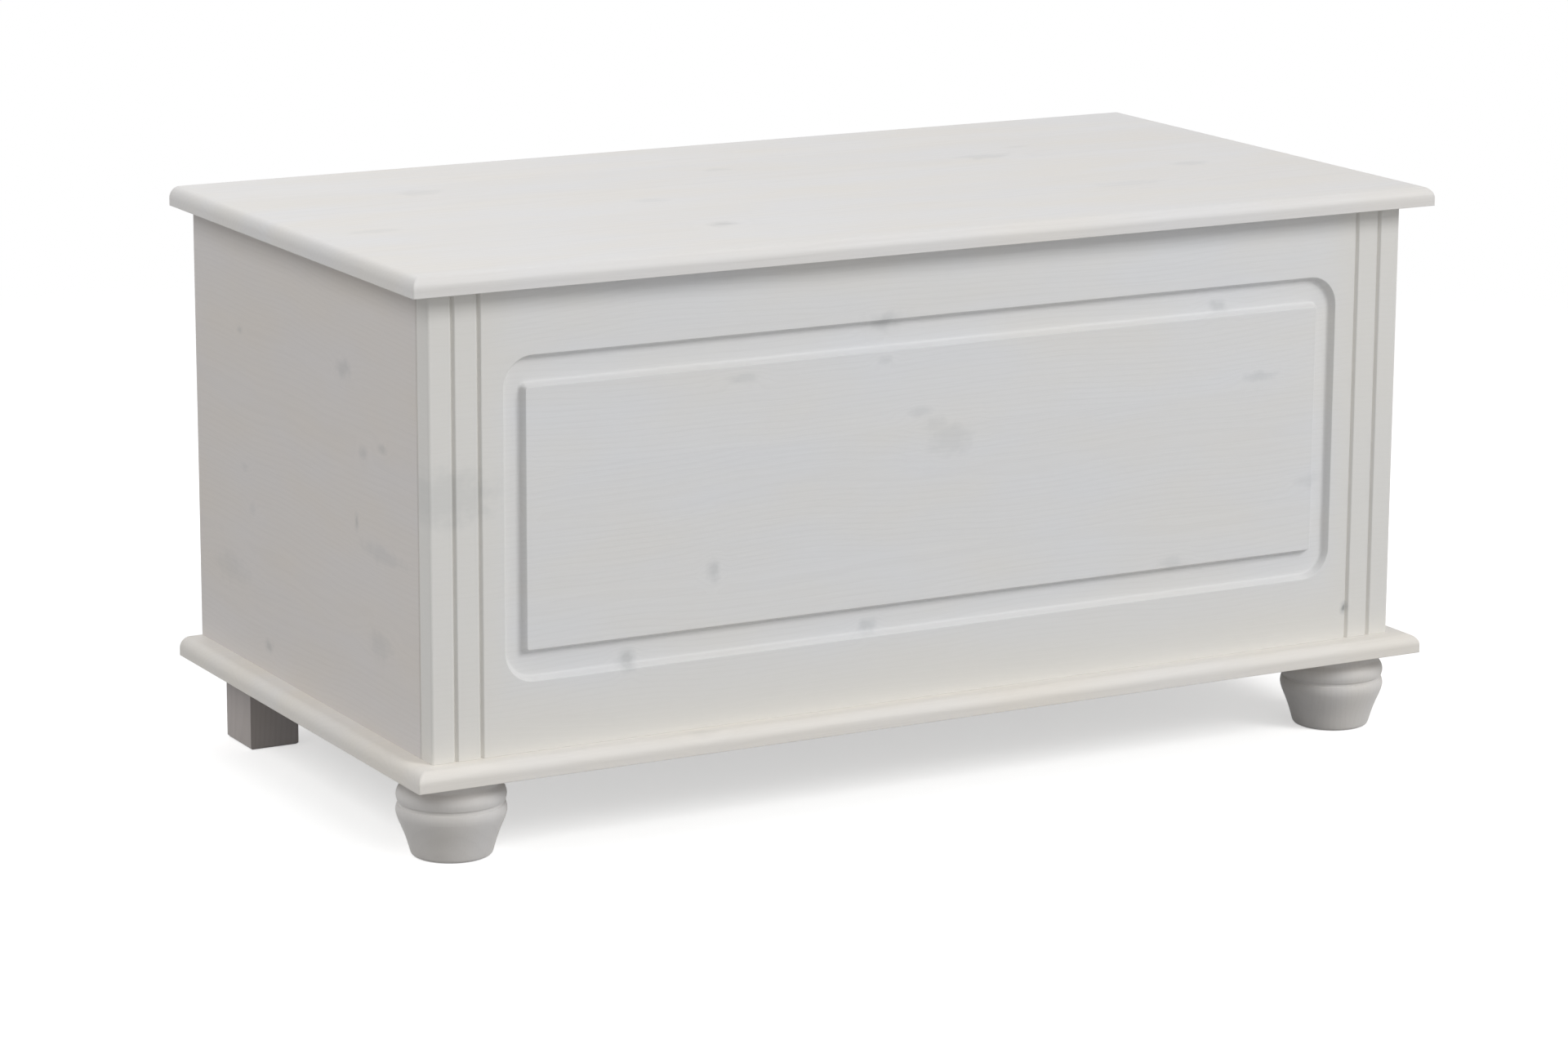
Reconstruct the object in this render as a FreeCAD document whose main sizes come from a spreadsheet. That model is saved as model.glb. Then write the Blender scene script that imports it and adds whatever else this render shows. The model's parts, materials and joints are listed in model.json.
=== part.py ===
import FreeCAD, Part
import Sketcher
import os
import re

from FreeCAD import Rotation, Vector

# Blanket chest in whitewashed pine, in millimetres.
# The frame is +Z up and the front faces -Y, with the origin on the floor at the middle of the
# overall box. Each piece is drawn in its own frame and put in its place by its Placement.

doc = FreeCAD.newDocument("BlanketChest")
sheet = doc.addObject("Spreadsheet::Sheet", "Sizes")
probe = doc.addObject("Spreadsheet::Sheet", "Probe")

# Driving sizes, each written once.
SIZES = {
    # the box of boards
    "body_width": 860,
    "body_depth": 444,
    "panel_height": 355,
    "front_thick": 20,
    "side_thick": 15,
    "back_thick": 15,
    "lid_thick": 15,
    "base_thick": 15,
    # moulded edge that the lid and the base board share
    "edge_overhang": 20,
    "moulding_radius": 9,
    "corner_ease": 1.2,
    # front board: rounded ends, V grooves and the routed field
    "end_round": 2,
    "joint_chamfer": 1.2,
    "groove_inset": 19.7,
    "groove_pitch": 21.1,
    "groove_width": 4,
    "groove_deep": 2.8,
    "recess_side_margin": 60.5,
    "recess_lower_margin": 54,
    "recess_upper_margin": 53,
    "recess_corner": 24,
    "recess_deep": 6.5,
    "bevel_width": 2.8,
    "field_side_band": 18.3,
    "field_level_band": 24.4,
    # play between the closed lid and the boards under it
    "lid_gap": 0.3,
    # lid battens
    "batten_width": 44,
    "batten_thick": 18,
    "batten_round": 3,
    "batten_place": 255,
    "batten_front_gap": 25,
    "batten_rear_gap": 24,
    # turned front feet
    "foot_height": 65,
    "foot_side_inset": 50.4,
    "foot_front_inset": 53,
    "sole_radius": 31,
    "sole_round": 3.5,
    "knee_radius": 40.3,
    "knee_height": 27.5,
    "shoulder_radius": 42.2,
    "shoulder_height": 35.5,
    "waist_radius": 39.8,
    "waist_height": 41,
    "bead_radius": 41.7,
    "bead_height": 47.2,
    "neck_radius": 37,
    "neck_height": 56.5,
    # square rear feet
    "block_width": 41.5,
    "block_depth": 49,
    "block_inset": 28.5,
    "block_chamfer": 1.5,
    # dowels and cam fittings of the corner joints
    "dowel_radius": 4,
    "dowel_in_face": 9,
    "dowel_in_edge": 21,
    "cam_bolt_radius": 3,
    "cam_bolt_bore": 4,
    "cam_bolt_grip": 10,
    "cam_radius": 7.5,
    "cam_deep": 12,
    "cam_setback": 34,
    "cam_slot_length": 9,
    "cam_slot_width": 2.4,
    "cam_slot_deep": 2,
    "hole_spare": 1,
    # wood screws: a large one for boards and feet, a small one for fittings
    "screw_radius": 2.2,
    "screw_head": 4.2,
    "screw_length": 45,
    "screw_tip": 5,
    "batten_screw_length": 28,
    "slot_length": 4.2,
    "slot_width": 1.1,
    "slot_deep": 1.2,
    "pin_screw_radius": 1.4,
    "pin_screw_head": 2.8,
    "pin_screw_length": 12,
    "pin_screw_tip": 3,
    "pin_slot_length": 3,
    "pin_slot_width": 0.8,
    "pin_slot_deep": 0.8,
    "block_screw_spread": 24,
    # hanger bolt and tee nut of a turned foot
    "hanger_radius": 4,
    "hanger_in_foot": 35,
    "hanger_in_base": 11,
    "tee_flange_radius": 10,
    "tee_flange_thick": 1.5,
    "tee_barrel_radius": 5.2,
    "tee_barrel_length": 10,
    # butt hinges
    "hinge_inset": 150,
    "hinge_length": 65,
    "hinge_leaf_width": 12,
    "hinge_leaf_thick": 1.6,
    "knuckle_radius": 3.1,
    "knuckle_clear": 0.4,
    "knuckle_play": 0.3,
    "hinge_pin_radius": 1.6,
    "hinge_pin_play": 0.07,
    "hinge_pin_cap": 0.9,
    "hinge_screw_pitch": 22,
    "hinge_screw_setback": 6,
    # folding lid stay on the right-hand side
    "lid_open_angle": 97,
    "stay_arm_length": 140,
    "stay_arm_width": 14,
    "stay_thick": 2,
    "stay_layer_gap": 0.5,
    "stay_lid_drop": 12,
    "stay_side_offset": 36,
    "stay_bracket_width": 16,
    "stay_bracket_length": 54,
    "stay_screw_spread": 38,
    "stay_flange_length": 46,
    "stay_flange_spread": 30,
    "stay_flange_width": 15,
    "rivet_radius": 2.5,
    "rivet_head_radius": 4.6,
    "rivet_head_thick": 1.4,
    "rivet_play": 0.08,
    "elbow_play": 0.25,
    "stop_radius": 2,
    "stop_reach": 14,
    "stop_clear": 0.35,
    "arm_tail": 20,
}

# Heights and places along a board, as shares of the board's height, width or depth.
DOWEL_HEIGHT_SHARES = (0.12, 0.5, 0.88)
CAM_HEIGHT_SHARES = (0.26, 0.74)
ROW_SHARES = (-0.38, 0, 0.38)
SIDE_ROW_SHARES = (0.25, 0.65)
BATTEN_SCREW_SHARES = (0.1, 0.5, 0.9)
# A wood screw's tip narrows by this share of its radius.
TIP_SHARE = 0.7
# Knuckles along a hinge's pin.
KNUCKLES = 5

# Sizes and places worked out from the driving sizes.
DERIVED = {
    "lid_width": "body_width + 2 * edge_overhang",
    "lid_depth": "body_depth + edge_overhang",
    "inner_width": "body_width - 2 * side_thick",
    "side_depth": "body_depth - front_thick",
    "batten_length": "side_depth - back_thick - batten_front_gap - batten_rear_gap",
    "edge_set": "knuckle_radius + knuckle_clear",
    "front_edge_y": "-(lid_depth + edge_set + knuckle_radius) / 2",
    "body_front_y": "front_edge_y + edge_overhang",
    "body_back_y": "body_front_y + body_depth",
    "hinge_y": "body_back_y + edge_set",
    "body_z": "foot_height + base_thick",
    "joint_z": "body_z + panel_height",
    "lid_z": "joint_z + lid_gap",
    "hinge_z": "joint_z + lid_gap / 2",
    "hinge_x": "body_width / 2 - hinge_inset",
    "recess_half": "body_width / 2 - recess_side_margin",
    "recess_top": "panel_height - recess_upper_margin",
    "field_foot_half": "recess_half - field_side_band + bevel_width",
    "field_foot_low": "recess_lower_margin + field_level_band - bevel_width",
    "field_foot_top": "recess_top - field_level_band + bevel_width",
    "knuckle_pitch": f"hinge_length / {KNUCKLES}",
    "stay_wall_x": "body_width / 2 - side_thick",
    "lower_arm_x": "stay_wall_x - 2 * stay_thick - stay_layer_gap",
    "upper_arm_x": "lower_arm_x - stay_layer_gap - stay_thick",
    "lid_ear_x": "upper_arm_x - stay_layer_gap - stay_thick",
    "stay_lid_reach": "sqrt(stay_arm_length ^ 2 - stay_lid_drop ^ 2)",
    "stay_side_fall": "sqrt(stay_arm_length ^ 2 - stay_side_offset ^ 2)",
    "lid_pivot_y": "hinge_y - stay_lid_reach",
    "lid_pivot_z": "hinge_z - stay_lid_drop",
    "side_pivot_y": "hinge_y - stay_side_offset",
    "side_pivot_z": "hinge_z - stay_side_fall",
    "elbow_y": "lid_pivot_y - stay_side_offset",
    "elbow_z": "lid_pivot_z - stay_side_fall",
    "lower_arm_tilt": "asin(stay_lid_drop / stay_arm_length)",
    "upper_arm_tilt": "asin(stay_side_fall / stay_arm_length)",
    "stop_angle": "180 deg - (lid_open_angle * 1 deg - lower_arm_tilt + upper_arm_tilt)",
    "stop_offset": "stay_arm_width / 2 + stop_radius + stop_clear",
}

for row, (name, value) in enumerate(SIZES.items(), start=1):
    sheet.set(f"A{row}", name)
    sheet.set(f"B{row}", str(value))
    sheet.setAlias(f"B{row}", name)
for row, (name, formula) in enumerate(DERIVED.items(), start=len(SIZES) + 2):
    sheet.set(f"A{row}", name)
    sheet.set(f"B{row}", "=" + formula)
    sheet.setAlias(f"B{row}", name)
doc.recompute()


def in_sheet(formula):
    """Return the formula with each size's name pointed at the sheet."""
    known = set(SIZES) | set(DERIVED)
    return re.sub(r"[a-z_]\w*", lambda word: f"Sizes.{word[0]}" if word[0] in known else word[0], formula)


def length(formula):
    """Return a formula in named sizes as a length, for a property that wants one."""
    return f"({in_sheet(formula)}) * 1 mm"


def number(formula):
    """Return what a formula in named sizes comes to, as a plain number."""
    probe.set("A1", "=" + in_sheet(formula))
    probe.recompute()
    value = probe.get("A1")
    return float(getattr(value, "Value", value))


def make_body(label):
    """Start a piece that is drawn with sketches; it may hold several like solids."""
    body = doc.addObject("PartDesign::Body", label)
    body.Label = label
    body.AllowCompound = True
    return body


def make_sketch(body, role, offset="0"):
    """Start a sketch on one of the body's own planes, moved along the plane's normal."""
    plane = next(item for item in body.Origin.OriginFeatures if item.Role == role)
    sketch = body.newObject("Sketcher::SketchObject", body.Label + "_sketch")
    sketch.AttachmentSupport = [(plane, "")]
    sketch.MapMode = "FlatFace"
    sketch.setExpression("AttachmentOffset.Base.z", length(offset))
    return sketch


def hold(sketch, kind, geometry, point, formula):
    """Fix one coordinate of a sketch point to a formula, or to the axis when it is zero."""
    axis = -2 if kind == "DistanceX" else -1
    value = number(formula)
    if formula == "0":
        sketch.addConstraint(Sketcher.Constraint("PointOnObject", geometry, point, axis))
        return
    index = sketch.addConstraint(Sketcher.Constraint(kind, -1, 1, geometry, point, value))
    sketch.setExpression(f"Constraints[{index}]", in_sheet(formula))


def outline(sketch, points):
    """Draw a closed outline, anticlockwise, through points given as formulas.

    A point may carry a third entry, ("x" or "y", formula): the stretch to the next point is
    then an arc whose centre has that coordinate.
    """
    first = sketch.GeometryCount
    count = len(points)
    spots = [Vector(number(point[0]), number(point[1]), 0) for point in points]
    for index, point in enumerate(points):
        start = spots[index]
        end = spots[(index + 1) % count]
        if len(point) == 2:
            sketch.addGeometry(Part.LineSegment(start, end))
            continue
        middle = (start + end) / 2
        across = (end - start).cross(Vector(0, 0, 1))
        known_axis, formula = point[2]
        along = getattr(across, known_axis)
        steps = 0 if along == 0 else (number(formula) - getattr(middle, known_axis)) / along
        centre = middle + across * steps
        radius = (start - centre).Length
        circle = Part.Circle(centre, Vector(0, 0, 1), radius)
        sketch.addGeometry(Part.ArcOfCircle(circle, circle.parameter(start), circle.parameter(end)))
    for index, point in enumerate(points):
        geometry = first + index
        following = first + (index + 1) % count
        sketch.addConstraint(Sketcher.Constraint("Coincident", geometry, 2, following, 1))
        hold(sketch, "DistanceX", geometry, 1, point[0])
        hold(sketch, "DistanceY", geometry, 1, point[1])
        if len(point) == 3:
            kind = "DistanceX" if point[2][0] == "x" else "DistanceY"
            hold(sketch, kind, geometry, 3, point[2][1])


def rectangle(sketch, low_x, low_y, high_x, high_y):
    """Draw a rectangle between two opposite corners."""
    outline(sketch, [(low_x, low_y), (high_x, low_y), (high_x, high_y), (low_x, high_y)])


def circles(sketch, centres, radius):
    """Draw circles of one radius about the centres."""
    for place_x, place_y in centres:
        centre = Vector(number(place_x), number(place_y), 0)
        geometry = sketch.addGeometry(Part.Circle(centre, Vector(0, 0, 1), number(radius)))
        hold(sketch, "DistanceX", geometry, 3, place_x)
        hold(sketch, "DistanceY", geometry, 3, place_y)
        index = sketch.addConstraint(Sketcher.Constraint("Radius", geometry, number(radius)))
        sketch.setExpression(f"Constraints[{index}]", in_sheet(radius))


def feature(body, kind, sketch, extent, back=False, taper=None):
    """Pad or pocket a sketch by a length; taper is the lean of its walls, as a formula in degrees."""
    item = body.newObject("PartDesign::" + kind, body.Label + "_" + kind.lower())
    item.Profile = sketch
    item.Reversed = back
    item.setExpression("Length", length(extent))
    if taper:
        item.setExpression("TaperAngle", in_sheet(taper))
    return item


def soften(body, kind, size, choose):
    """Round or chamfer the edges of the body that the choose function picks by their box."""
    doc.recompute()
    base = body.Tip
    picked = [f"Edge{index}" for index, edge in enumerate(base.Shape.Edges, start=1) if choose(edge.BoundBox)]
    item = body.newObject("PartDesign::" + kind, body.Label + "_" + kind.lower())
    item.Base = (base, picked)
    item.setExpression("Radius" if kind == "Fillet" else "Size", length(size))
    return item


def near(first, second):
    """Tell whether two places are the same within a thousandth."""
    return abs(first - second) < TINY


def place(item, place_x, place_y, place_z):
    """Put a piece's own origin at a place in the chest's frame."""
    for axis, formula in zip("xyz", (place_x, place_y, place_z)):
        item.setExpression(f"Placement.Base.{axis}", length(formula))


def drill(body, role, offset, centres, radius, depth, back):
    """Sink plain round holes into a face."""
    sketch = make_sketch(body, role, offset)
    circles(sketch, centres, radius)
    return feature(body, "Pocket", sketch, depth, back)


def countersink(body, role, offset, centres, head, shank, through, back):
    """Sink clearance holes with a 45 degree countersink into a face."""
    drill(body, role, offset, centres, shank, through, back)
    sketch = make_sketch(body, role, offset)
    circles(sketch, centres, head)
    return feature(body, "Pocket", sketch, f"{head} - {shank}", back, "-45 deg")


def crossed_slot(body, role, offset, centres, sizes, back):
    """Cut a crossed driver recess at each centre; the sizes are its length, width and depth."""
    slot_length, slot_width, slot_deep = sizes
    for wide, tall in ((slot_length, slot_width), (slot_width, slot_length)):
        sketch = make_sketch(body, role, offset)
        for place_x, place_y in centres:
            rectangle(sketch, f"{place_x} - {wide} / 2", f"{place_y} - {tall} / 2",
                      f"{place_x} + {wide} / 2", f"{place_y} + {tall} / 2")
        feature(body, "Pocket", sketch, slot_deep, back)


def screws(label, role, offset, centres, large, extent, back):
    """Make a group of countersunk wood screws whose heads lie in one plane.

    They run along the plane's normal, or against it when back is true. The head is a cone, and
    the tip a blunt one, with a crossed recess in the head.
    """
    head, shank, tip = ("screw_head", "screw_radius", "screw_tip")
    cross = ("slot_length", "slot_width", "slot_deep")
    if not large:
        head, shank, tip = ("pin_screw_head", "pin_screw_radius", "pin_screw_tip")
        cross = ("pin_slot_length", "pin_slot_width", "pin_slot_deep")
    body = make_body(label)
    sketch = make_sketch(body, role, offset)
    circles(sketch, centres, shank)
    feature(body, "Pad", sketch, f"{extent} - {tip}", back)
    sign = "-" if back else "+"
    sketch = make_sketch(body, role, f"{offset} {sign} ({extent} - {tip})")
    circles(sketch, centres, shank)
    feature(body, "Pad", sketch, tip, back, f"-atan({shank} * {TIP_SHARE} / {tip})")
    sketch = make_sketch(body, role, offset)
    circles(sketch, centres, head)
    feature(body, "Pad", sketch, f"{head} - {shank}", back, "-45 deg")
    crossed_slot(body, role, offset, centres, cross, not back)
    return body


# Two places closer than this count as one when edges are picked.
TINY = number("corner_ease / 1000")
PANEL_HEIGHTS = [f"panel_height * {share}" for share in DOWEL_HEIGHT_SHARES]
CAM_HEIGHTS = [f"panel_height * {share}" for share in CAM_HEIGHT_SHARES]
SIDES = (("left", "-"), ("right", ""))

# Lid and base board
# Both are one glued pine board with the same moulding along the front and the two ends:
# a quarter round on top over a square lower edge. The mitred corners are lightly eased.


def moulded_board(label, thick, level):
    """Make a board with the moulded edge on three sides, its own origin at the front edge."""
    body = make_body(label)
    sketch = make_sketch(body, "XY_Plane")
    rectangle(sketch, "-lid_width / 2", "0", "lid_width / 2", "lid_depth")
    feature(body, "Pad", sketch, thick)
    end = number("lid_width / 2")
    top = number(thick)

    def front_corner(box):
        on_corner = near(abs(box.XMin), end) and near(box.XLength, 0) and near(box.YMax, 0)
        return on_corner and box.ZLength > TINY

    def top_edge(box):
        on_top = near(box.ZMin, top) and near(box.ZMax, top)
        return on_top and (near(box.YMax, 0) or (near(abs(box.XMin), end) and near(box.XLength, 0)))

    soften(body, "Fillet", "moulding_radius", top_edge)
    soften(body, "Fillet", "corner_ease", front_corner)
    place(body, "0", "front_edge_y", level)
    return body


BATTEN_START = "edge_overhang + front_thick + batten_front_gap"
BATTEN_SCREWS = [(f"{sign}batten_place", f"{BATTEN_START} + batten_length * {share}")
                 for name, sign in SIDES for share in BATTEN_SCREW_SHARES]
HINGE_SCREW_STEPS = ("-hinge_screw_pitch", "0", "hinge_screw_pitch")
HINGE_SCREW_PLACES = [f"{sign}hinge_x + {step}" for name, sign in SIDES for step in HINGE_SCREW_STEPS]
LID_FLANGE_X = "lid_ear_x + stay_thick - stay_flange_width / 2"
STAY_LID_SCREWS = [(LID_FLANGE_X, f"lid_pivot_y {sign} stay_flange_spread / 2") for sign in "-+"]

lid = moulded_board("lid_board", "lid_thick", "lid_z")
for name, sign in SIDES:
    mortise = make_sketch(lid, "XY_Plane")
    rectangle(mortise, f"{sign}hinge_x - hinge_length / 2", "lid_depth - hinge_leaf_width",
              f"{sign}hinge_x + hinge_length / 2", "lid_depth")
    feature(lid, "Pocket", mortise, "hinge_leaf_thick", True)
drill(lid, "XY_Plane", "0", BATTEN_SCREWS,
      "screw_radius", "batten_screw_length - batten_thick + hole_spare", True)
drill(lid, "XY_Plane", "0", [(across, "lid_depth - hinge_screw_setback") for across in HINGE_SCREW_PLACES],
      "pin_screw_radius", "pin_screw_length + hole_spare", True)
drill(lid, "XY_Plane", "0", [(across, f"{along} - front_edge_y") for across, along in STAY_LID_SCREWS],
      "pin_screw_radius", "pin_screw_length - stay_thick + hole_spare", True)

FRONT_ROW = [(f"body_width * {share}", "edge_overhang + front_thick / 2") for share in ROW_SHARES]
BACK_ROW = [(f"inner_width * {share}", "edge_overhang + body_depth - back_thick / 2") for share in ROW_SHARES]
SIDE_ROWS = [(f"{sign}(body_width - side_thick) / 2", f"edge_overhang + front_thick + side_depth * {share}")
             for name, sign in SIDES for share in SIDE_ROW_SHARES]
BASE_SCREWS = FRONT_ROW + BACK_ROW + SIDE_ROWS
FRONT_FEET = [(f"{sign}(lid_width / 2 - foot_side_inset)", "foot_front_inset") for name, sign in SIDES]
BLOCK_X = "(lid_width / 2 - block_inset - block_width / 2)"
BLOCK_Y = "lid_depth - block_inset - block_depth / 2"
BLOCK_SCREWS = [(f"{sign}{BLOCK_X}", f"{BLOCK_Y} {step} block_screw_spread / 2")
                for name, sign in SIDES for step in "-+"]

base = moulded_board("base_board", "base_thick", "foot_height")
countersink(base, "XY_Plane", "0", BASE_SCREWS, "screw_head", "screw_radius", "base_thick", True)
countersink(base, "XY_Plane", "base_thick", BLOCK_SCREWS, "screw_head", "screw_radius", "base_thick", False)
drill(base, "XY_Plane", "base_thick", FRONT_FEET, "tee_barrel_radius", "base_thick", False)
drill(base, "XY_Plane", "base_thick", FRONT_FEET, "tee_flange_radius", "tee_flange_thick", False)

# Front board
# One board with rounded ends, two V grooves near each end, and a bevelled recess with
# rounded corners round a raised field with square ones.

front = make_body("front_panel")
sketch = make_sketch(front, "XZ_Plane")
rectangle(sketch, "-body_width / 2", "0", "body_width / 2", "panel_height")
feature(front, "Pad", sketch, "front_thick", True)
board_end = number("body_width / 2")
board_back = number("front_thick")


def upright(box):
    """Tell whether an edge stands at an end of the front board."""
    return near(abs(box.XMin), board_end) and near(box.XLength, 0) and near(box.YLength, 0)


soften(front, "Fillet", "end_round", lambda box: upright(box) and near(box.YMin, 0))
soften(front, "Chamfer", "joint_chamfer", lambda box: upright(box) and near(box.YMin, board_back))

grooves = make_sketch(front, "XY_Plane")
for name, sign in SIDES:
    for inset in ("groove_inset", "groove_inset + groove_pitch"):
        centre = f"{sign}(body_width / 2 - ({inset}))"
        outline(grooves, [(f"{centre} - groove_width / 2", "0"), (f"{centre} + groove_width / 2", "0"),
                          (centre, "groove_deep")])
feature(front, "Pocket", grooves, "panel_height", True)

recess = make_sketch(front, "XZ_Plane")
left, right = "-recess_half", "recess_half"
low, top = "recess_lower_margin", "recess_top"
inner_left, inner_right = f"{left} + recess_corner", f"{right} - recess_corner"
inner_low, inner_top = f"{low} + recess_corner", f"{top} - recess_corner"
outline(recess, [(inner_left, low), (inner_right, low, ("y", inner_low)),
                 (right, inner_low), (right, inner_top, ("y", inner_top)),
                 (inner_right, top), (inner_left, top, ("y", inner_top)),
                 (left, inner_top), (left, inner_low, ("y", inner_low))])
feature(front, "Pocket", recess, "recess_deep", False, "-atan(bevel_width / recess_deep)")
field = make_sketch(front, "XZ_Plane", "-recess_deep")
rectangle(field, "-field_foot_half", "field_foot_low", "field_foot_half", "field_foot_top")
feature(front, "Pad", field, "recess_deep", False, "-atan(bevel_width / recess_deep)")

FRONT_JOINT_X = ["-(body_width - side_thick) / 2", "(body_width - side_thick) / 2"]
drill(front, "XZ_Plane", "-front_thick",
      [(across, level) for across in FRONT_JOINT_X for level in PANEL_HEIGHTS],
      "dowel_radius", "dowel_in_face + hole_spare", True)
drill(front, "XZ_Plane", "-front_thick",
      [(across, level) for across in FRONT_JOINT_X for level in CAM_HEIGHTS],
      "cam_bolt_radius", "cam_bolt_grip", True)
drill(front, "XY_Plane", "0", [(across, "front_thick / 2") for across, along in FRONT_ROW],
      "screw_radius", "screw_length - base_thick + hole_spare", True)
place(front, "0", "body_front_y", "body_z")

# Side boards
# Each stands behind the front board. Their own origin is on the inner face, at the front
# lower corner, and the outer face is a board's thickness away.


def side_panel(name, sign):
    """Make one side board with the holes of its dowels, cams and screws."""
    right_hand = sign == ""
    body = make_body(f"side_panel_{name}")
    middle = f"{sign}side_thick / 2"
    sketch = make_sketch(body, "YZ_Plane")
    rectangle(sketch, "0", "0", "side_depth", "panel_height")
    feature(body, "Pad", sketch, "side_thick", not right_hand)
    outer = number(f"{sign}side_thick")
    soften(body, "Chamfer", "joint_chamfer",
           lambda box: near(box.XMin, outer) and near(box.XMax, outer) and near(box.YMax, 0))
    drill(body, "XZ_Plane", "0", [(middle, level) for level in PANEL_HEIGHTS],
          "dowel_radius", "dowel_in_edge + hole_spare", False)
    drill(body, "XZ_Plane", "0", [(middle, level) for level in CAM_HEIGHTS],
          "cam_bolt_bore", "cam_setback", False)
    drill(body, "YZ_Plane", "0", [("cam_setback", level) for level in CAM_HEIGHTS],
          "cam_radius", "cam_deep", right_hand)
    rear = "side_depth - back_thick / 2"
    drill(body, "YZ_Plane", "0", [(rear, level) for level in PANEL_HEIGHTS],
          "dowel_radius", "dowel_in_face + hole_spare", right_hand)
    drill(body, "YZ_Plane", "0", [(rear, level) for level in CAM_HEIGHTS],
          "cam_bolt_radius", "cam_bolt_grip", right_hand)
    drill(body, "XY_Plane", "0", [(middle, f"side_depth * {share}") for share in SIDE_ROW_SHARES],
          "screw_radius", "screw_length - base_thick + hole_spare", True)
    place(body, f"{sign}(body_width / 2 - side_thick)", "body_front_y + front_thick", "body_z")
    return body


sides = {name: side_panel(name, sign) for name, sign in SIDES}
bracket_y = "side_pivot_y - body_front_y - front_thick"
drill(sides["right"], "YZ_Plane", "0",
      [(bracket_y, f"side_pivot_z - body_z {step} stay_screw_spread / 2") for step in "-+"],
      "pin_screw_radius", "pin_screw_length - stay_thick + hole_spare", True)

# Back board
# It stands between the side boards, and its upper edge carries the hinges.

back = make_body("back_panel")
sketch = make_sketch(back, "XZ_Plane")
rectangle(sketch, "-inner_width / 2", "0", "inner_width / 2", "panel_height")
feature(back, "Pad", sketch, "back_thick", True)
for name, sign in SIDES:
    mortise = make_sketch(back, "XY_Plane", "panel_height")
    rectangle(mortise, f"{sign}hinge_x - hinge_length / 2", "back_thick - hinge_leaf_width",
              f"{sign}hinge_x + hinge_length / 2", "back_thick")
    feature(back, "Pocket", mortise, "hinge_leaf_thick")
    inward = sign == "-"
    drill(back, "YZ_Plane", f"{sign}inner_width / 2", [("back_thick / 2", level) for level in PANEL_HEIGHTS],
          "dowel_radius", "dowel_in_edge + hole_spare", inward)
    drill(back, "YZ_Plane", f"{sign}inner_width / 2", [("back_thick / 2", level) for level in CAM_HEIGHTS],
          "cam_bolt_bore", "cam_setback", inward)
    drill(back, "XZ_Plane", "0", [(f"{sign}(inner_width / 2 - cam_setback)", level) for level in CAM_HEIGHTS],
          "cam_radius", "cam_deep", False)
drill(back, "XY_Plane", "panel_height",
      [(across, "back_thick - hinge_screw_setback") for across in HINGE_SCREW_PLACES],
      "pin_screw_radius", "pin_screw_length + hole_spare", False)
drill(back, "XY_Plane", "0", [(across, "back_thick / 2") for across, along in BACK_ROW],
      "screw_radius", "screw_length - base_thick + hole_spare", True)
place(back, "0", "body_back_y - back_thick", "body_z")

# Lid battens
# Two cross pieces screwed under the lid keep it flat.

for name, sign in SIDES:
    batten = make_body(f"lid_batten_{name}")
    sketch = make_sketch(batten, "XY_Plane")
    rectangle(sketch, "-batten_width / 2", "0", "batten_width / 2", "batten_length")
    feature(batten, "Pad", sketch, "batten_thick")
    soften(batten, "Fillet", "batten_round", lambda box: near(box.ZMin, 0) and near(box.ZMax, 0))
    countersink(batten, "XY_Plane", "0", [("0", f"batten_length * {share}") for share in BATTEN_SCREW_SHARES],
                "screw_head", "screw_radius", "batten_thick", True)
    place(batten, f"{sign}batten_place", f"front_edge_y + {BATTEN_START}", "lid_z - batten_thick")

# Feet
# The front pair is turned, with a bored top for its hanger bolt. The rear pair is square.

for name, sign in SIDES:
    foot = make_body(f"front_foot_{name}")
    sketch = make_sketch(foot, "XZ_Plane")
    outline(sketch, [("0", "0"), ("sole_radius - sole_round", "0", ("y", "sole_round")),
                     ("sole_radius", "sole_round"), ("knee_radius", "knee_height", ("y", "shoulder_height")),
                     ("shoulder_radius", "shoulder_height", ("y", "shoulder_height")),
                     ("waist_radius", "waist_height", ("y", "bead_height")),
                     ("bead_radius", "bead_height", ("y", "bead_height")),
                     ("neck_radius", "neck_height"), ("neck_radius", "foot_height"),
                     ("hanger_radius", "foot_height"), ("hanger_radius", "foot_height - hanger_in_foot"),
                     ("0", "foot_height - hanger_in_foot")])
    turning = foot.newObject("PartDesign::Revolution", foot.Label + "_turning")
    turning.Profile = sketch
    turning.ReferenceAxis = (sketch, ["V_Axis"])
    turning.Angle = 360
    place(foot, f"{sign}(lid_width / 2 - foot_side_inset)", "front_edge_y + foot_front_inset", "0")

    block = make_body(f"rear_foot_{name}")
    sketch = make_sketch(block, "XY_Plane")
    rectangle(sketch, "-block_width / 2", "-block_depth / 2", "block_width / 2", "block_depth / 2")
    feature(block, "Pad", sketch, "foot_height")
    soften(block, "Chamfer", "block_chamfer", lambda box: near(box.ZMin, 0) and near(box.ZMax, 0))
    drill(block, "XY_Plane", "foot_height", [("0", f"{step}block_screw_spread / 2") for step in ("-", "")],
          "screw_radius", "screw_length - base_thick + hole_spare", False)
    place(block, f"{sign}{BLOCK_X}", f"front_edge_y + {BLOCK_Y}", "0")

# Dowels, cam bolts and cams of the corner joints
# Along Y between the front board and the sides, and along X between the sides and the back.

FRONT_JOINT = "-(body_front_y + front_thick)"
SIDE_JOINT = "inner_width / 2"
REAR_JOINT_Y = "(body_back_y - back_thick / 2)"


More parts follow.
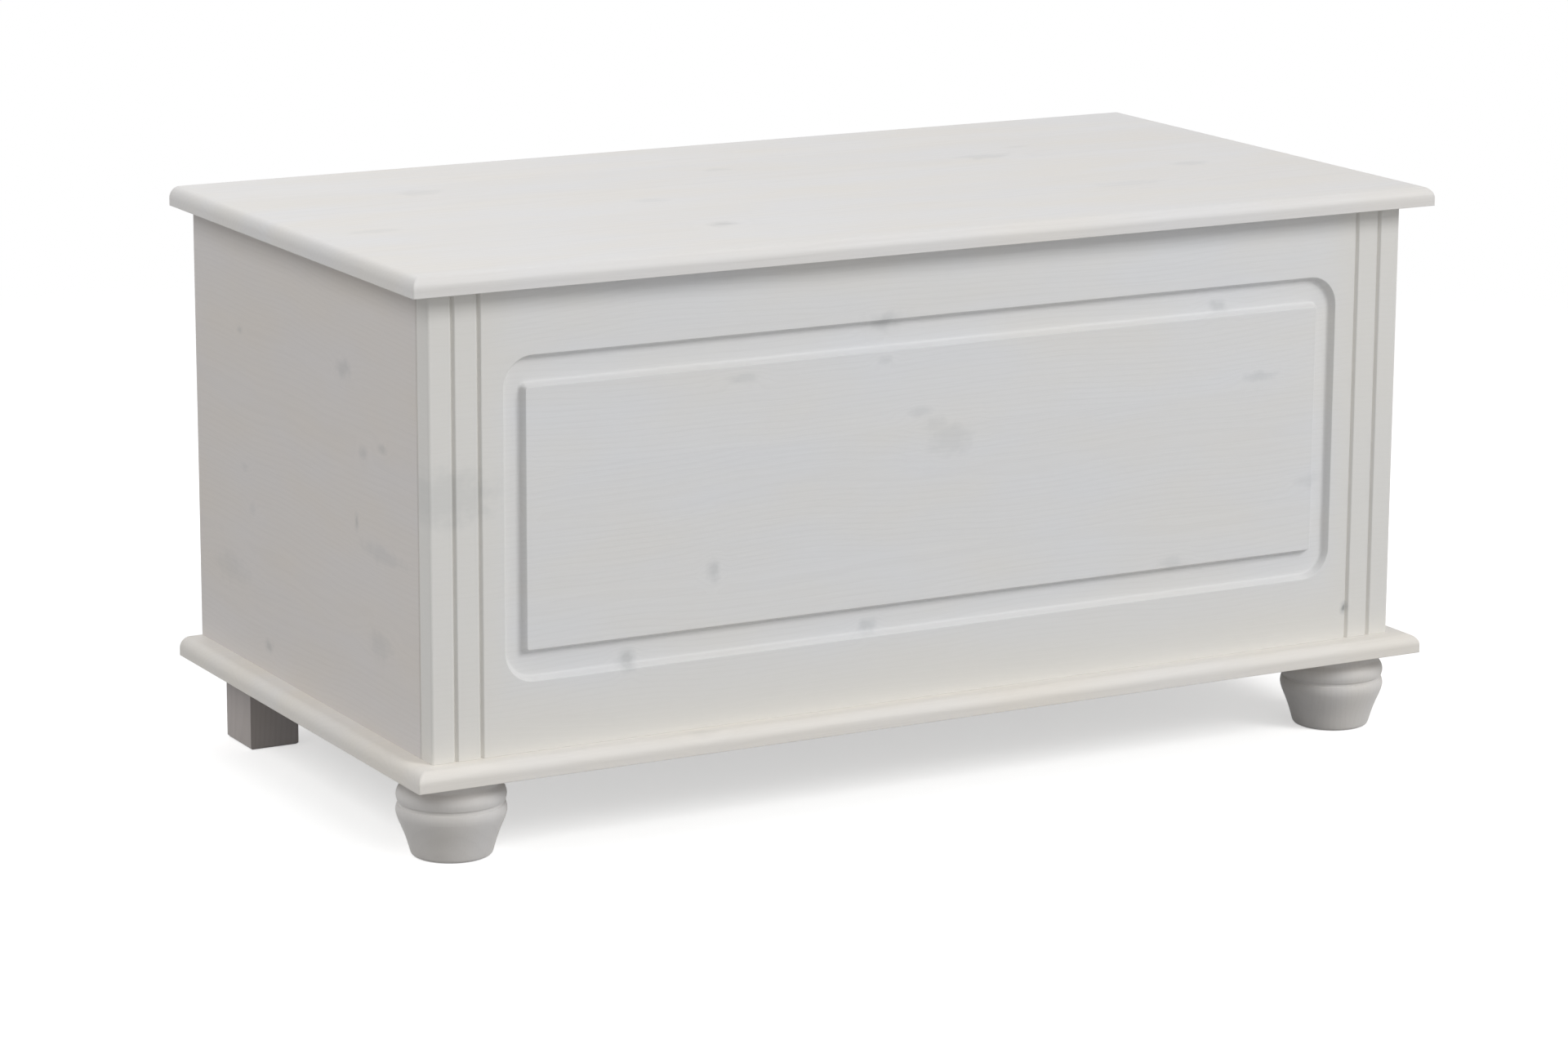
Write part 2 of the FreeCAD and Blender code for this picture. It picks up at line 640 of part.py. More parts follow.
def along_y(label, levels, radius, in_front, in_side):
    """Make round pins that cross the joint between the front board and the sides."""
    body = make_body(label)
    sketch = make_sketch(body, "XZ_Plane", f"{FRONT_JOINT} + {in_front}")
    circles(sketch, [(across, f"body_z + {level}") for across in FRONT_JOINT_X for level in levels], radius)
    feature(body, "Pad", sketch, f"{in_front} + {in_side}", True)
    return body


def along_x(label, levels, radius, in_side, in_back):
    """Make round pins that cross the joint between the sides and the back board."""
    body = make_body(label)
    for name, sign in SIDES:
        outward = "+" if sign == "" else "-"
        sketch = make_sketch(body, "YZ_Plane", f"{sign}{SIDE_JOINT} {outward} {in_side}")
        circles(sketch, [(REAR_JOINT_Y, f"body_z + {level}") for level in levels], radius)
        feature(body, "Pad", sketch, f"{in_side} + {in_back}", sign == "")
    return body


along_y("front_corner_dowels", PANEL_HEIGHTS, "dowel_radius", "dowel_in_face", "dowel_in_edge")
along_x("rear_corner_dowels", PANEL_HEIGHTS, "dowel_radius", "dowel_in_face", "dowel_in_edge")
along_y("front_cam_bolts", CAM_HEIGHTS, "cam_bolt_radius", "cam_bolt_grip", "cam_setback")
along_x("rear_cam_bolts", CAM_HEIGHTS, "cam_bolt_radius", "cam_bolt_grip", "cam_setback")


CAM_SLOT = ("cam_slot_length", "cam_slot_width", "cam_slot_deep")

front_cams = make_body("front_cams")
cam_y = "(body_front_y + front_thick + cam_setback)"
for name, sign in SIDES:
    spots = [(cam_y, f"body_z + {level}") for level in CAM_HEIGHTS]
    sketch = make_sketch(front_cams, "YZ_Plane", f"{sign}{SIDE_JOINT}")
    circles(sketch, spots, "cam_radius")
    feature(front_cams, "Pad", sketch, "cam_deep", sign == "-")
    crossed_slot(front_cams, "YZ_Plane", f"{sign}{SIDE_JOINT}", spots, CAM_SLOT, sign == "")
drill(front_cams, "XZ_Plane", f"-{cam_y}", [(across, f"body_z + {level}") for across in FRONT_JOINT_X
                                            for level in CAM_HEIGHTS], "cam_bolt_radius", "cam_radius", True)

rear_cams = make_body("rear_cams")
cam_x = "(inner_width / 2 - cam_setback)"
spots = [(f"{sign}{cam_x}", f"body_z + {level}") for name, sign in SIDES for level in CAM_HEIGHTS]
rear_face = "-(body_back_y - back_thick)"
sketch = make_sketch(rear_cams, "XZ_Plane", rear_face)
circles(sketch, spots, "cam_radius")
feature(rear_cams, "Pad", sketch, "cam_deep", True)
crossed_slot(rear_cams, "XZ_Plane", rear_face, spots, CAM_SLOT, False)
for name, sign in SIDES:
    drill(rear_cams, "YZ_Plane", f"{sign}{cam_x}",
          [(REAR_JOINT_Y, f"body_z + {level}") for level in CAM_HEIGHTS],
          "cam_bolt_radius", "cam_radius", sign == "")

# Screws of the boards and feet

base_screws = screws("base_screws", "XY_Plane", "0", BASE_SCREWS, True, "screw_length", False)
place(base_screws, "0", "front_edge_y", "foot_height")
foot_screws = screws("rear_foot_screws", "XY_Plane", "0", BLOCK_SCREWS, True, "screw_length", True)
place(foot_screws, "0", "front_edge_y", "body_z")
batten_screws = screws("batten_screws", "XY_Plane", "0", BATTEN_SCREWS, True, "batten_screw_length", False)
place(batten_screws, "0", "front_edge_y", "lid_z - batten_thick")

# Hanger bolts and tee nuts
# Each turned foot is screwed up into a tee nut whose flange lies flush in the chest's floor.

hangers = make_body("foot_hanger_bolts")
sketch = make_sketch(hangers, "XY_Plane", "foot_height - hanger_in_foot")
circles(sketch, FRONT_FEET, "hanger_radius")
feature(hangers, "Pad", sketch, "hanger_in_foot + hanger_in_base")
place(hangers, "0", "front_edge_y", "0")

tee_nuts = make_body("foot_tee_nuts")
sketch = make_sketch(tee_nuts, "XY_Plane")
circles(sketch, FRONT_FEET, "tee_barrel_radius")
feature(tee_nuts, "Pad", sketch, "tee_barrel_length", True)
sketch = make_sketch(tee_nuts, "XY_Plane")
circles(sketch, FRONT_FEET, "tee_flange_radius")
feature(tee_nuts, "Pad", sketch, "tee_flange_thick", True)
drill(tee_nuts, "XY_Plane", "0", FRONT_FEET, "hanger_radius", "tee_barrel_length", False)
place(tee_nuts, "0", "front_edge_y", "body_z")

# Butt hinges
# The leaves are let into the back board and the lid. Five knuckles turn on a fixed pin, three
# on the body's leaf and two on the lid's, and the origin is the middle of the pin.


def hinge_leaf(label, own_knuckles, up, bore):
    """Make one leaf: a plate with a tongue to each of its knuckles, bored for the pin."""
    body = make_body(label)
    near_face = "lid_gap / 2" if up else "-lid_gap / 2"
    knuckle_ends = []
    for index in own_knuckles:
        start_play = "knuckle_play / 2" if index > 0 else "0"
        end_play = "knuckle_play / 2" if index < KNUCKLES - 1 else "0"
        knuckle_ends.append((f"(knuckle_pitch * {index} - hinge_length / 2 + {start_play})",
                             f"(knuckle_pitch * {index + 1} - hinge_length / 2 - {end_play})"))
    plate = make_sketch(body, "XY_Plane", near_face)
    rectangle(plate, "-hinge_length / 2", "-edge_set - hinge_leaf_width", "hinge_length / 2", "-edge_set")
    feature(body, "Pad", plate, "hinge_leaf_thick", not up)
    tongues = make_sketch(body, "XY_Plane", near_face)
    for start, end in knuckle_ends:
        rectangle(tongues, start, "-edge_set", end, "0")
    feature(body, "Pad", tongues, "hinge_leaf_thick", not up)
    for start, end in knuckle_ends:
        barrel = make_sketch(body, "YZ_Plane", start)
        circles(barrel, [("0", "0")], "knuckle_radius")
        feature(body, "Pad", barrel, f"{end} - {start}")
    drill(body, "YZ_Plane", "hinge_length / 2", [("0", "0")], bore, "hinge_length", False)
    spots = [(step, "-edge_set - hinge_screw_setback") for step in HINGE_SCREW_STEPS]
    countersink(body, "XY_Plane", near_face, spots, "pin_screw_head", "pin_screw_radius",
                "hinge_leaf_thick", up)
    return body


for name, sign in SIDES:
    body_leaf = hinge_leaf(f"hinge_{name}_body_leaf", (0, 2, 4), False, "hinge_pin_radius")
    lid_leaf = hinge_leaf(f"hinge_{name}_lid_leaf", (1, 3), True, "hinge_pin_radius + hinge_pin_play")
    pin = make_body(f"hinge_{name}_pin")
    shaft = make_sketch(pin, "YZ_Plane", "-hinge_length / 2")
    circles(shaft, [("0", "0")], "hinge_pin_radius")
    feature(pin, "Pad", shaft, "hinge_length")
    for side_name, side_sign in SIDES:
        cap = make_sketch(pin, "YZ_Plane", f"{side_sign}hinge_length / 2")
        circles(cap, [("0", "0")], "hinge_pin_radius + hinge_pin_cap")
        feature(pin, "Pad", cap, "hinge_pin_cap", side_sign == "-", "-45 deg")
    for item in (body_leaf, lid_leaf, pin):
        place(item, f"{sign}hinge_x", "hinge_y", "hinge_z")

hinge_spots = [(across, "-hinge_screw_setback") for across in HINGE_SCREW_PLACES]
hinge_body_screws = screws("hinge_body_screws", "XY_Plane", "0", hinge_spots, False, "pin_screw_length", True)
place(hinge_body_screws, "0", "body_back_y", "joint_z")
hinge_lid_screws = screws("hinge_lid_screws", "XY_Plane", "0", hinge_spots, False, "pin_screw_length", False)
place(hinge_lid_screws, "0", "body_back_y", "lid_z")

# Folding lid stay
# The four pivots, the hinge pin among them, are one arm's length apart, so the lower arm
# always lies parallel to the line from the hinge pin to the lid's pivot, and the upper arm
# keeps its direction. Arms and brackets lie in layers inward from the right side board. A peg
# on the lower arm meets the upper arm's edge when the lid is fully open.


def arm(label, reach, holes, tilt):
    """Make a flat arm along -Y from its pivot, with round ends and a hole for each pivot."""
    body = make_body(label)
    sketch = make_sketch(body, "YZ_Plane")
    far = f"-({reach})"
    outline(sketch, [(far, "stay_arm_width / 2", ("x", far)), (far, "-stay_arm_width / 2"),
                     ("0", "-stay_arm_width / 2", ("x", "0")), ("0", "stay_arm_width / 2")])
    feature(body, "Pad", sketch, "stay_thick")
    for centre, bore in holes:
        drill(body, "YZ_Plane", "stay_thick", [(centre, "0")], bore, "stay_thick", False)
    body.Placement.Rotation = Rotation(Vector(1, 0, 0), 1)
    body.setExpression("Placement.Rotation.Angle", in_sheet(tilt))
    return body


lower_arm = arm("stay_lower_arm", "stay_arm_length + arm_tail",
                [("0", "rivet_radius + rivet_play"), ("-stay_arm_length", "rivet_radius")], "lower_arm_tilt")
stop = make_sketch(lower_arm, "YZ_Plane")
circles(stop, [("-stay_arm_length - stop_reach * cos(stop_angle) - stop_offset * sin(stop_angle)",
                "stop_reach * sin(stop_angle) - stop_offset * cos(stop_angle)")], "stop_radius")
feature(lower_arm, "Pad", stop, "stay_layer_gap + stay_thick", True)
place(lower_arm, "lower_arm_x", "side_pivot_y", "side_pivot_z")

upper_arm = arm("stay_upper_arm", "stay_arm_length",
                [("0", "rivet_radius + rivet_play"), ("-stay_arm_length", "rivet_radius + elbow_play")],
                "upper_arm_tilt")
place(upper_arm, "upper_arm_x", "lid_pivot_y", "lid_pivot_z")

side_bracket = make_body("stay_side_bracket")
sketch = make_sketch(side_bracket, "YZ_Plane")
half, tall = "stay_bracket_width / 2", "(stay_bracket_length - stay_bracket_width) / 2"
outline(sketch, [(f"-{half}", f"-{tall}", ("y", f"-{tall}")), (half, f"-{tall}"),
                 (half, tall, ("y", tall)), (f"-{half}", tall)])
feature(side_bracket, "Pad", sketch, "stay_thick")
drill(side_bracket, "YZ_Plane", "0", [("0", "0")], "rivet_radius", "stay_thick", True)
countersink(side_bracket, "YZ_Plane", "0", [("0", f"{step}stay_screw_spread / 2") for step in ("-", "")],
            "pin_screw_head", "pin_screw_radius", "stay_thick", True)
place(side_bracket, "stay_wall_x - stay_thick", "side_pivot_y", "side_pivot_z")

lid_bracket = make_body("stay_lid_bracket")
sketch = make_sketch(lid_bracket, "XY_Plane", "lid_z - lid_pivot_z")
rectangle(sketch, "stay_thick - stay_flange_width", "-stay_flange_length / 2",
          "stay_thick", "stay_flange_length / 2")
feature(lid_bracket, "Pad", sketch, "stay_thick", True)
ear = make_sketch(lid_bracket, "YZ_Plane")
outline(ear, [(f"-{half}", "0", ("y", "0")), (half, "0"), (half, "lid_z - lid_pivot_z"),
              (f"-{half}", "lid_z - lid_pivot_z")])
feature(lid_bracket, "Pad", ear, "stay_thick")
drill(lid_bracket, "YZ_Plane", "0", [("0", "0")], "rivet_radius", "stay_thick", True)
flange_spots = [("stay_thick - stay_flange_width / 2", f"{step}stay_flange_spread / 2") for step in ("-", "")]
countersink(lid_bracket, "XY_Plane", "lid_z - lid_pivot_z - stay_thick", flange_spots,
            "pin_screw_head", "pin_screw_radius", "stay_thick", True)
place(lid_bracket, "lid_ear_x", "lid_pivot_y", "lid_pivot_z")


def rivet(label, start, end, place_y, place_z):
    """Make a rivet along X with a flat head at each end of its shank."""
    body = make_body(label)
    shank = make_sketch(body, "YZ_Plane", start)
    circles(shank, [("0", "0")], "rivet_radius")
    feature(body, "Pad", shank, f"{end} - ({start})")
    for level, back in ((start, True), (end, False)):
        head = make_sketch(body, "YZ_Plane", level)
        circles(head, [("0", "0")], "rivet_head_radius")
        feature(body, "Pad", head, "rivet_head_thick", back)
    place(body, "0", place_y, place_z)
    return body


rivet("stay_elbow_rivet", "upper_arm_x - rivet_play", "lower_arm_x + stay_thick", "elbow_y", "elbow_z")
rivet("stay_lid_rivet", "lid_ear_x", "upper_arm_x + stay_thick + rivet_play", "lid_pivot_y", "lid_pivot_z")
side_rivet = make_body("stay_side_rivet")
shank = make_sketch(side_rivet, "YZ_Plane", "lower_arm_x - rivet_play")
circles(shank, [("0", "0")], "rivet_radius")
feature(side_rivet, "Pad", shank, "stay_wall_x - lower_arm_x + rivet_play")
head = make_sketch(side_rivet, "YZ_Plane", "lower_arm_x - rivet_play")
circles(head, [("0", "0")], "rivet_head_radius")
feature(side_rivet, "Pad", head, "rivet_head_thick", True)
place(side_rivet, "0", "side_pivot_y", "side_pivot_z")

side_screws = screws("stay_side_screws", "YZ_Plane", "0",
                     [("side_pivot_y", f"side_pivot_z {step} stay_screw_spread / 2") for step in "-+"],
                     False, "pin_screw_length", False)
place(side_screws, "stay_wall_x - stay_thick", "0", "0")
lid_screws = screws("stay_lid_screws", "XY_Plane", "0", STAY_LID_SCREWS, False, "pin_screw_length", False)
place(lid_screws, "0", "0", "lid_z - stay_thick")

# Check every object, then write one file for each piece

doc.recompute()
for item in doc.Objects:
    if "Invalid" in item.State or "Error" in item.State:
        raise RuntimeError(f"{item.Label} failed: {item.State}")
pieces = [item for item in doc.Objects if item.TypeId == "PartDesign::Body"]
for piece in pieces:
    if piece.Shape.isNull() or not piece.Shape.isValid():
        raise RuntimeError(f"{piece.Label} has no valid shape")

os.makedirs("parts", exist_ok=True)
for piece in pieces:
    piece.Shape.exportStep(os.path.join("parts", piece.Label + ".step"))
    print(piece.Label, len(piece.Shape.Solids), round(piece.Shape.Volume))
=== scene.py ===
import json
import math

import bpy
import numpy as np
from mathutils import Matrix, Vector

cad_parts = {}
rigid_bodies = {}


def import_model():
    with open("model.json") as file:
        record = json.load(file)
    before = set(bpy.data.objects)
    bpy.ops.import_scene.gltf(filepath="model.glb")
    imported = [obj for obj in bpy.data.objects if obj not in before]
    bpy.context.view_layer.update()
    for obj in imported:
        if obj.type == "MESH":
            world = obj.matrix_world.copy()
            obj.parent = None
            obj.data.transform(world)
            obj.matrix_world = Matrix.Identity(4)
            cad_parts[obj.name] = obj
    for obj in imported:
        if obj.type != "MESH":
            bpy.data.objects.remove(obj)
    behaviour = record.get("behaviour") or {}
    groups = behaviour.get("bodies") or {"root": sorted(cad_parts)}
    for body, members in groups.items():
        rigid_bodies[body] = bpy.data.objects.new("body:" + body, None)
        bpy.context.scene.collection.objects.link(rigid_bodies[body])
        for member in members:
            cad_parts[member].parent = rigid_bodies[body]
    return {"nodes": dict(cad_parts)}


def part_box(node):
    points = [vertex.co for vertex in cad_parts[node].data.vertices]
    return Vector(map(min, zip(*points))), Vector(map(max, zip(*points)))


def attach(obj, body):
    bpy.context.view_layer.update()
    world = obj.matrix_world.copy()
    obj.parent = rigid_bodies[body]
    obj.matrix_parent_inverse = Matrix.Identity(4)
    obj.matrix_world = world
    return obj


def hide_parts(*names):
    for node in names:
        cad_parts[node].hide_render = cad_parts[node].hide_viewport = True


# A blanket chest in whitewashed pine: boards, turned front feet, block rear feet, and the hinges,
# lid stay and fittings that it needs inside. Metres, +Z up, with the front facing -Y.

for leftover in list(bpy.data.objects):
    bpy.data.objects.remove(leftover)
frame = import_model()
bpy.context.view_layer.update()

# Lid board
# A panel of pine staves glued edge to edge, with the grain along its length. The front and the
# two ends have a quarter round run by a router, and the whole is whitewashed and lacquered satin.

MM = 0.001
MATH = "ShaderNodeMath"
VECTOR_MATH = "ShaderNodeVectorMath"
NOISE = "ShaderNodeTexNoise"
FADE = "ShaderNodeMapRange"
MIX = "ShaderNodeMix"

# Staves are 95 mm wide, as glued pine panels have, each cut from another place in the log: a seed
# shifts them and draws their lots. Their pith lies up to 60 mm deep and wanders along the grain.
# Rings of slow-grown pine are about 4 mm apart on a flat-sawn face, and the last part is late wood.
STAVE_WIDTH = 95.0
STAVE_SHIFT = 17.0
CHANCE_STEP = 7.3
RING_WIDTH = 4.3
LATE_START_SHARE = 0.35
LATE_FULL_SHARE = 0.86
LATE_FALL_SHARE = 0.88
PITH_BENEATH = {"X": 300.0, "Y": 300.0, "Z": 420.0}
PITH_SPREAD = 45.0
PITH_REACH = 60.0
PITH_WANDER = 46.0
RING_STIR = 5.0
KNOT_PUSH = 7.0

# How many times a noise turns over in a millimetre, along and across the grain.
WANDER_RATE = 0.0032
STIR_RATES = (0.011, 0.05, 0.0)
CLOUD_RATES = (0.006, 0.016, 0.0)
FIBRE_RATE = 0.9
FIBRE_STRETCH = 0.016
KNOT_RATE = 0.09

# A knot's parts, in its own half sizes: where each begins to show, and where it is full.
KNOT_PARTS = (("Halo", 1.15, 0.25), ("Heart", 0.6, 0.15), ("Push", 2.4, 0.0))
KNOT_ROUGHNESS = 1.3

# The wash, the wood beneath it, and how much of the wood shows through where and why.
WASH = "#EAE9E8"
WOOD_BENEATH = "#8F8A83"
EVEN_SHARE = 0.04
RING_SHARE = 0.022
FIBRE_SHARE = 0.09
STAVE_SHARE = 0.03
# Painted shade: where the piece's wash_pool attribute is set, in grooves, at a joint and on slopes that
# don't face up, this share darkens the wash toward the wood beneath.
PAINTED_SHADE_SHARE = 0.26
COOL_TINT = "#FEFEFF"
WARM_TINT = "#FFFDFA"
HALO_GREY = "#8D9599"
HEART_GREY = "#55534F"

# Satin lacquer, a little duller where the fibres soak it up, with sanded edges under it.
LACQUER_ROUGHNESS = 0.52
FIBRE_DULLNESS = 0.12
LATE_RELIEF = 0.5
GRAIN_RELIEF = 0.12
SANDED_EDGE = 0.7


def linear(code):
    """Turn a hex sRGB colour into linear RGBA: a power of 2.4 above a short straight toe."""
    shares = [int(code[start:start + 2], 16) / 255 for start in (1, 3, 5)]
    return (*[((share + 0.055) / 1.055) ** 2.4 if share > 0.04045 else share / 12.92
              for share in shares], 1)


def add(tree, kind, links=None, **settings):
    """Add a node to a tree with its settings, and put values, sockets or nodes on its inputs.

    A node on an input stands for its first output. A colour mix takes its colours on inputs 6
    and 7, and gives its result on output 2.
    """
    made = tree.nodes.new(kind)
    for name, value in settings.items():
        setattr(made, name, value)
    for name, value in (links or {}).items():
        if isinstance(value, bpy.types.Node):
            value = value.outputs[0]
        if isinstance(value, bpy.types.NodeSocket):
            tree.links.new(value, made.inputs[name])
        else:
            made.inputs[name].default_value = value
    return made


def knot_group():
    """Make the group that draws one knot.

    The distance from the knot's centre, measured in its own half sizes and roughened by noise,
    fades in smooth steps into a grey halo, a darker heart, and a wider push that bends the rings.
    """
    tree = bpy.data.node_groups.new("pine_knot", "ShaderNodeTree")
    for name, kind in (("Point", "Vector"), ("Centre", "Vector"), ("Reach", "Vector"),
                       ("Halo", "Float"), ("Heart", "Float")):
        tree.interface.new_socket(name, in_out="INPUT", socket_type="NodeSocket" + kind)
    for name, *_ in KNOT_PARTS:
        tree.interface.new_socket(name, in_out="OUTPUT", socket_type="NodeSocketFloat")
    given = add(tree, "NodeGroupInput").outputs
    away = add(tree, VECTOR_MATH, {0: given["Point"], 1: given["Centre"]}, operation="SUBTRACT")
    shares = add(tree, VECTOR_MATH, {0: away, 1: given["Reach"]}, operation="DIVIDE")
    rough = add(tree, NOISE, {"Vector": given["Point"], "Scale": KNOT_RATE, "Detail": 4.0})
    lift = add(tree, VECTOR_MATH, {0: rough.outputs["Color"], 1: (0.5, 0.5, 0.5)}, operation="SUBTRACT")
    stir = add(tree, VECTOR_MATH, {0: lift, 1: (KNOT_ROUGHNESS, KNOT_ROUGHNESS, 0.0), 2: shares},
               operation="MULTIPLY_ADD")
    reach = add(tree, VECTOR_MATH, {0: stir}, operation="LENGTH").outputs["Value"]
    ends = add(tree, "NodeGroupOutput")
    for name, begin, full in KNOT_PARTS:
        fade = add(tree, FADE, {"Value": reach, "From Min": begin, "From Max": full},
                   interpolation_type="SMOOTHSTEP")
        if name != "Push":
            fade = add(tree, MATH, {0: fade, 1: given[name]}, operation="MULTIPLY")
        tree.links.new(fade.outputs[0], ends.inputs[name])
    return tree


KNOT = knot_group()


def lay_knots(tree, flat, knots):
    """Lay knots on a face, and return the largest halo, heart and push at each point.

    A knot is (u, v, half length, half width, halo, heart), in millimetres and shares.
    """
    largest = {name: 0.0 for name, *_ in KNOT_PARTS}
    for along, across, half_length, half_width, halo, heart in knots:
        knot = add(tree, "ShaderNodeGroup",
                   {"Point": flat, "Centre": (along, across, 0), "Reach": (half_length, half_width, 1),
                    "Halo": halo, "Heart": heart}, node_tree=KNOT)
        for name, value in largest.items():
            largest[name] = add(tree, MATH, {0: value, 1: knot.outputs[name]}, operation="MAXIMUM")
    return largest.values()


def draw_rings(tree, u, v, w, flat, beneath, push, seed):
    """Return the late wood's share and the stave's own lot at each point of a glued panel.

    A stave's number is the whole part of v over its width, and gives it three lots by chance. A
    ring's radius is the length of (v, w) from a pith that wanders slowly along u and lies anew
    for each stave. Its share of the ring width, raised late and dropped fast, is the late wood.
    """
    shifted = add(tree, MATH, {0: v, 1: seed * STAVE_SHIFT}, operation="ADD")
    widths = add(tree, MATH, {0: shifted, 1: STAVE_WIDTH}, operation="DIVIDE")
    number = add(tree, MATH, {0: widths}, operation="FLOOR")
    drawn = add(tree, MATH, {0: number, 1: seed * CHANCE_STEP}, operation="ADD")
    chance = add(tree, "ShaderNodeTexWhiteNoise", {"W": drawn}, noise_dimensions="1D")
    lots = add(tree, "ShaderNodeSeparateColor", {0: chance.outputs["Color"]}).outputs

    within = add(tree, MATH, {0: number, 1: lots[0]}, operation="ADD")
    middle = add(tree, MATH, {0: within, 1: STAVE_WIDTH, 2: seed * -STAVE_SHIFT}, operation="MULTIPLY_ADD")
    slow = add(tree, MATH, {0: u, 1: WANDER_RATE}, operation="MULTIPLY")
    drift_place = add(tree, "ShaderNodeCombineXYZ", {0: slow, 1: number, 2: seed})
    drift = add(tree, NOISE, {"Vector": drift_place, "Scale": 1.0, "Detail": 1.5})
    drift = add(tree, MATH, {0: drift, 1: 0.5}, operation="SUBTRACT")
    wander = add(tree, MATH, {0: drift, 1: PITH_WANDER}, operation="MULTIPLY")
    side = add(tree, MATH, {0: v, 1: middle}, operation="SUBTRACT")
    side = add(tree, MATH, {0: side, 1: wander}, operation="ADD")
    depth = add(tree, MATH, {0: w, 1: beneath}, operation="ADD")
    depth = add(tree, MATH, {0: lots[1], 1: PITH_SPREAD, 2: depth}, operation="MULTIPLY_ADD")
    depth = add(tree, MATH, {0: depth, 1: PITH_REACH}, operation="PINGPONG")
    from_pith = add(tree, "ShaderNodeCombineXYZ", {0: side, 1: depth})
    radius = add(tree, VECTOR_MATH, {0: from_pith}, operation="LENGTH").outputs["Value"]

    stir_place = add(tree, VECTOR_MATH, {0: flat, 1: STIR_RATES}, operation="MULTIPLY")
    stir = add(tree, NOISE, {"Vector": stir_place, "Scale": 1.0, "Detail": 3.0})
    radius = add(tree, MATH, {0: stir, 1: RING_STIR, 2: radius}, operation="MULTIPLY_ADD")
    radius = add(tree, MATH, {0: push, 1: KNOT_PUSH, 2: radius}, operation="MULTIPLY_ADD")
    turns = add(tree, MATH, {0: radius, 1: RING_WIDTH}, operation="DIVIDE")
    share = add(tree, MATH, {0: turns}, operation="FRACT")
    rise = add(tree, FADE, {"Value": share, "From Min": LATE_START_SHARE, "From Max": LATE_FULL_SHARE},
               interpolation_type="SMOOTHSTEP")
    drop = add(tree, FADE, {"Value": share, "From Min": 1.0, "From Max": LATE_FALL_SHARE},
               interpolation_type="SMOOTHSTEP")
    return add(tree, MATH, {0: rise, 1: drop}, operation="MULTIPLY"), lots[2]


